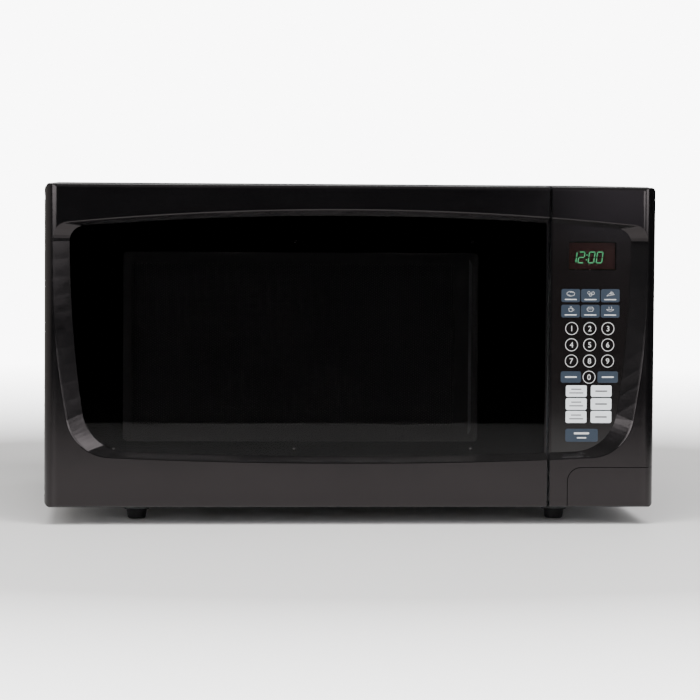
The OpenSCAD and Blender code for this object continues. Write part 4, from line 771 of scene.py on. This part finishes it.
# bars as (width, height), and as (up from the lower edge or the middle of the key, width, height)
SIDE_BAR, ONE_BAR = (11.0, 1.3), (11.0, 1.2)
FOOD_BAR = (2.4, 11.0, 0.9)
START_BARS = ((7.7, 14.0, 1.8), (3.6, 8.5, 1.2))
TWO_BARS = ((1.7, 9.5, 0.9), (-1.7, 13.0, 0.9))
light_bars = [((x0 + x1) / 2, z0 + FOOD_BAR[0], *FOOD_BAR[1:]) for x0, x1, z0, z1 in food_keys]
light_bars += [((x0 + x1) / 2, (z0 + z1) / 2, *SIDE_BAR) for x0, x1, z0, z1 in side_keys]
start_x = (start_key[0] + start_key[1]) / 2
light_bars += [(start_x, start_key[2] + up, *size) for up, *size in START_BARS]
label_bars("light_bars", light_bars, line_ink)

dark_bars = []
for index, (x0, x1, z0, z1) in enumerate(white_keys):
    cx, cz = (x0 + x1) / 2, (z0 + z1) / 2
    if index % 2:
        dark_bars.append((cx, cz, *ONE_BAR))
    else:
        dark_bars += [(cx, cz + up, *size) for up, *size in TWO_BARS]
label_bars("dark_bars", dark_bars, dark_ink)

# line drawings on the food keys: lines of (points, closed, stretch in X and Z), in millimetres round
# a point ICON_UP above the lower edge of the key
ICON_UP, ICON_LINE = 7.6, 0.3
ICONS = (
    [(circle(0, 0, 1.0, 24), True, (3.6, 2.1)), (circle(0.6, 0.5, 1.0, 10, 20, 120), False, (1.9, 1.1)),
     (circle(-1.2, -0.3, 1.0, 10, 200, 90), False, (1.2, 0.9))],
    [(circle(-1.5, 0.9, 1.0, 18), True, (1.2, 1.2)), (circle(0.0, -1.1, 1.0, 18), True, (1.1, 1.1)),
     (circle(2.2, 0.6, 1.0, 18), True, (1.3, 1.3))],
    [([(-3.4, -1.9), (1.2, 2.0), (3.6, -0.6), (-3.4, -1.9)], False, (1, 1)),
     (circle(0.7, 0.3, 1.0, 12), True, (0.55, 0.55)), (circle(2.0, -0.5, 1.0, 12), True, (0.5, 0.5))],
    [([(-1.8, 0.8), (-1.3, -2.1), (1.3, -2.1), (1.8, 0.8), (-1.8, 0.8)], False, (1, 1)),
     (circle(2.0, -0.6, 1.0, 10, -80, 160), False, (0.9, 0.9)),
     ([(-0.5, 1.5), (-0.2, 2.0), (-0.6, 2.5)], False, (1, 1)),
     ([(0.6, 1.5), (0.9, 2.0), (0.5, 2.5)], False, (1, 1))],
    [([(-3.2, 0.2), (-1.8, 1.9), (1.8, 1.9), (3.2, 0.2), (1.8, -1.9), (-1.8, -1.9)], True, (1, 1)),
     ([(-2.2, 0.3), (2.2, 0.3)], False, (1, 1))],
    [(circle(0, -0.3, 1.0, 14, 180, 180), False, (3.2, 1.9)), ([(-3.4, -0.3), (3.4, -0.3)], False, (1, 1)),
     ([(-1.2, 0.5), (-0.9, 1.3), (-1.3, 2.2)], False, (1, 1)),
     ([(1.2, 0.5), (1.5, 1.3), (1.1, 2.2)], False, (1, 1))],
)
drawings = bmesh.new()
for lines, (x0, x1, z0, z1) in zip(ICONS, food_keys):
    for line, closed, (wide, tall) in lines:
        mx = sum(p[0] for p in line) / len(line) if wide != 1 else 0.0
        mz = sum(p[1] for p in line) / len(line) if wide != 1 else 0.0
        moved = [((x0 + x1) / 2 + mx + (x - mx) * wide, z0 + ICON_UP + mz + (z - mz) * tall)
                 for x, z in line]
        stroke(drawings, moved, ICON_LINE, FILM_Y - PAD_T - MARK_T, FILM_Y - PAD_T, closed)
outward(drawings)
piece("food_drawings", as_mesh("food_drawings", drawings), "root", line_ink)


# ---------------------------------------------------------------- clock display

def glow(name, colour, strength, base):
    """Display segments that emit light: the lit ones glow, and the unlit ones get a faint painted glow."""
    made = Finish(name, base, 0.4)
    made.set("Emission Strength", strength)
    flicker = noise(made.tree, made.place, 400.0, 2.0)
    lit = blend_colour(made.tree, spread(made.tree, flicker, 0.35, 0.65), (*colour, 1.0),
                       grey(0.85, colour))
    made.set("Emission Color", lit)
    return made


lit_green = glow("lit_segment", (0.09, 0.62, 0.28), 3.2, (0.02, 0.2, 0.08, 1.0))
# painted glow: the unlit segments emit a faint dim red light although they are not lit
unlit_painted_glow = glow("unlit_segment", (0.09, 0.05, 0.045), 0.25, (0.06, 0.045, 0.045, 1.0))

display_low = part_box("display_module")[0] / MM
DISPLAY_Y = display_low.y
DIGIT_LEFT = [display_low.x + x for x in (1.0, 8.1, 17.4, 24.7)]
CELL_W, CELL_H, LEAN, BAR = 5.1, 9.8, 0.13, 0.8
CELL_Z = display_low.z + 5.5
COLON_X, COLON_R, SEGMENT_T = 15.4, 0.55, 0.08
SEGMENTS = {"a": ((0, 1), (1, 1)), "b": ((1, 1), (1, 0.5)), "c": ((1, 0.5), (1, 0)), "d": ((0, 0), (1, 0)),
            "e": ((0, 0.5), (0, 0)), "f": ((0, 1), (0, 0.5)), "g": ((0, 0.5), (1, 0.5))}
SHOWN = {"1": "bc", "2": "abged", "0": "abcdef"}


def segment(build, left, ends):
    """One bar with pointed ends, leaning like the digit."""
    spots = [Vector((CELL_W * u, CELL_H * v)) for u, v in ends]
    along = (spots[1] - spots[0]).normalized()
    across = Vector((-along.y, along.x)) * BAR / 2
    a, b = spots[0] + along * 0.25, spots[1] - along * 0.25
    shape = [a, a + along * BAR / 2 + across, b - along * BAR / 2 + across, b,
             b - along * BAR / 2 - across, a + along * BAR / 2 - across]
    slab(build, [(left + p.x + LEAN * p.y, CELL_Z + p.y) for p in shape], DISPLAY_Y - SEGMENT_T, DISPLAY_Y)


lit, unlit = bmesh.new(), bmesh.new()
for left, digit in zip(DIGIT_LEFT, "1200"):
    for letter, ends in SEGMENTS.items():
        segment(lit if letter in SHOWN[digit] else unlit, left, ends)
for height in (0.28, 0.72):
    dot = circle(display_low.x + COLON_X + LEAN * CELL_H * height, CELL_Z + CELL_H * height, COLON_R, 16)
    slab(lit, dot, DISPLAY_Y - SEGMENT_T, DISPLAY_Y)
for name, build, finish in (("lit_segments", lit, lit_green), ("unlit_segments", unlit, unlit_painted_glow)):
    outward(build)
    piece(name, as_mesh(name, build), "root", finish)


# ---------------------------------------------------------------- studio

def stage_plate(name, outline, z, finish, seen=True):
    """A flat sheet of the set."""
    build = bmesh.new()
    build.faces.new([build.verts.new((x, y, z)) for x, y in outline])
    mesh = bpy.data.meshes.new(name)
    build.to_mesh(mesh)
    build.free()
    made = bpy.data.objects.new(name, mesh)
    bpy.context.scene.collection.objects.link(made)
    mesh.materials.append(finish.material)
    made.visible_camera = seen
    made.visible_shadow = seen
    return made


def rectangle(x0, x1, y0, y1):
    """The corners of a rectangle in X and Y."""
    return [(x0, y0), (x1, y0), (x1, y1), (x0, y1)]


floor_finish = Finish("pale_floor", grey(0.86, (1.0, 0.985, 0.97)), 0.6)
mottle = noise(floor_finish.tree, floor_finish.place, 3.0, 3.0)
floor_finish.tint(maths(floor_finish.tree, "MULTIPLY", mottle, 0.08), grey(0.78))
apart = add(floor_finish.tree, "VectorMath", {0: floor_finish.place}, operation="LENGTH").outputs["Value"]
floor_finish.set("Alpha", spread(floor_finish.tree, apart, 0.7, 2.2, 1.0, 0.0))
dark_cloth = Finish("dark_cloth", grey(0.006), 0.95)
floor_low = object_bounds()[0][2]
FLOOR_DROP, CLOTH_RISE = 0.0002, 0.001
stage_plate("floor", rectangle(-6.0, 6.0, -6.0, 6.0), floor_low - FLOOR_DROP, floor_finish)
CLOTHS = (("dark_cloth", (-2.5, 2.5, -5.0, -1.34)), ("dark_cloth_right", (1.0, 4.0, -1.16, 3.0)))
for name, sides in CLOTHS:
    stage_plate(name, rectangle(*sides), floor_low + CLOTH_RISE, dark_cloth, seen=False)


def softbox(name, spot, target, size, power, colour=(1.0, 1.0, 1.0)):
    """A rectangular studio light aimed at a point."""
    light = bpy.data.lights.new(name, "AREA")
    light.shape, light.size, light.size_y = "RECTANGLE", size[0], size[1]
    light.energy, light.color = power, colour
    made = bpy.data.objects.new(name, light)
    bpy.context.scene.collection.objects.link(made)
    made.location = spot
    made.rotation_euler = (Vector(target) - Vector(spot)).to_track_quat("-Z", "Y").to_euler()
    return made


overhead = softbox("overhead", (0.0, -0.95, 1.75), (0.0, -0.35, 0.0), (2.2, 1.0), 54.0)
overhead.visible_glossy = False
softbox("left_wide", (-1.3, -1.5, 0.96), (-0.1, -0.2, 0.96), (0.95, 1.4), 26.0, (0.98, 0.99, 1.0))
softbox("right_near", (0.78, -1.5, 0.96), (0.25, -0.2, 0.96), (0.26, 1.4), 7.0, (0.98, 0.98, 1.0))
softbox("right_far", (1.55, -1.5, 0.96), (0.25, -0.2, 0.96), (0.6, 1.4), 16.0, (0.98, 0.98, 1.0))
softbox("right_glow", (0.55, -1.75, 0.82), (0.25, -0.2, 0.82), (0.26, 1.15), 0.9, (0.92, 0.88, 1.0))
softbox("rear_fill", (0.5, 2.2, 1.3), (0.0, 0.0, 0.15), (1.8, 1.2), 14.0)

# the room: bright behind on the left, dim overhead, dark in front; the camera sees pale air
world = bpy.data.worlds.new("studio")
bpy.context.scene.world = world
world.use_nodes = True
sky = world.node_tree
backdrop = sky.nodes["Background"]
way = add(sky, "TexCoord").outputs["Generated"]
BACK_LEFT = (-0.87, 0.5, 0.0)
left_behind = add(sky, "VectorMath", {0: way, 1: BACK_LEFT}, operation="DOT_PRODUCT").outputs["Value"]
above = spread(sky, add(sky, "SeparateXYZ", {0: way}).outputs["Z"], 0.3, 1.0)
around = blend_colour(sky, above, grey(0.012), grey(0.3))
around = blend_colour(sky, spread(sky, left_behind, 0.45, 0.8), around, grey(0.7, (1.0, 0.95, 0.9)))
seen = add(sky, "LightPath").outputs["Is Camera Ray"]
feed(sky, backdrop.inputs["Color"], blend_colour(sky, seen, around, grey(9.0)))

camera = bpy.data.cameras.new("camera")
camera.sensor_width, camera.lens = 36.0, 157.5
view = bpy.data.objects.new("camera", camera)
bpy.context.scene.collection.objects.link(view)
TILT, ROLL, YAW = 3.23, -0.41, -4.203
view.location = (-0.205, -2.97, 0.314)
view.rotation_euler = (math.radians(90.0 - TILT), math.radians(ROLL), math.radians(YAW))
bpy.context.scene.camera = view
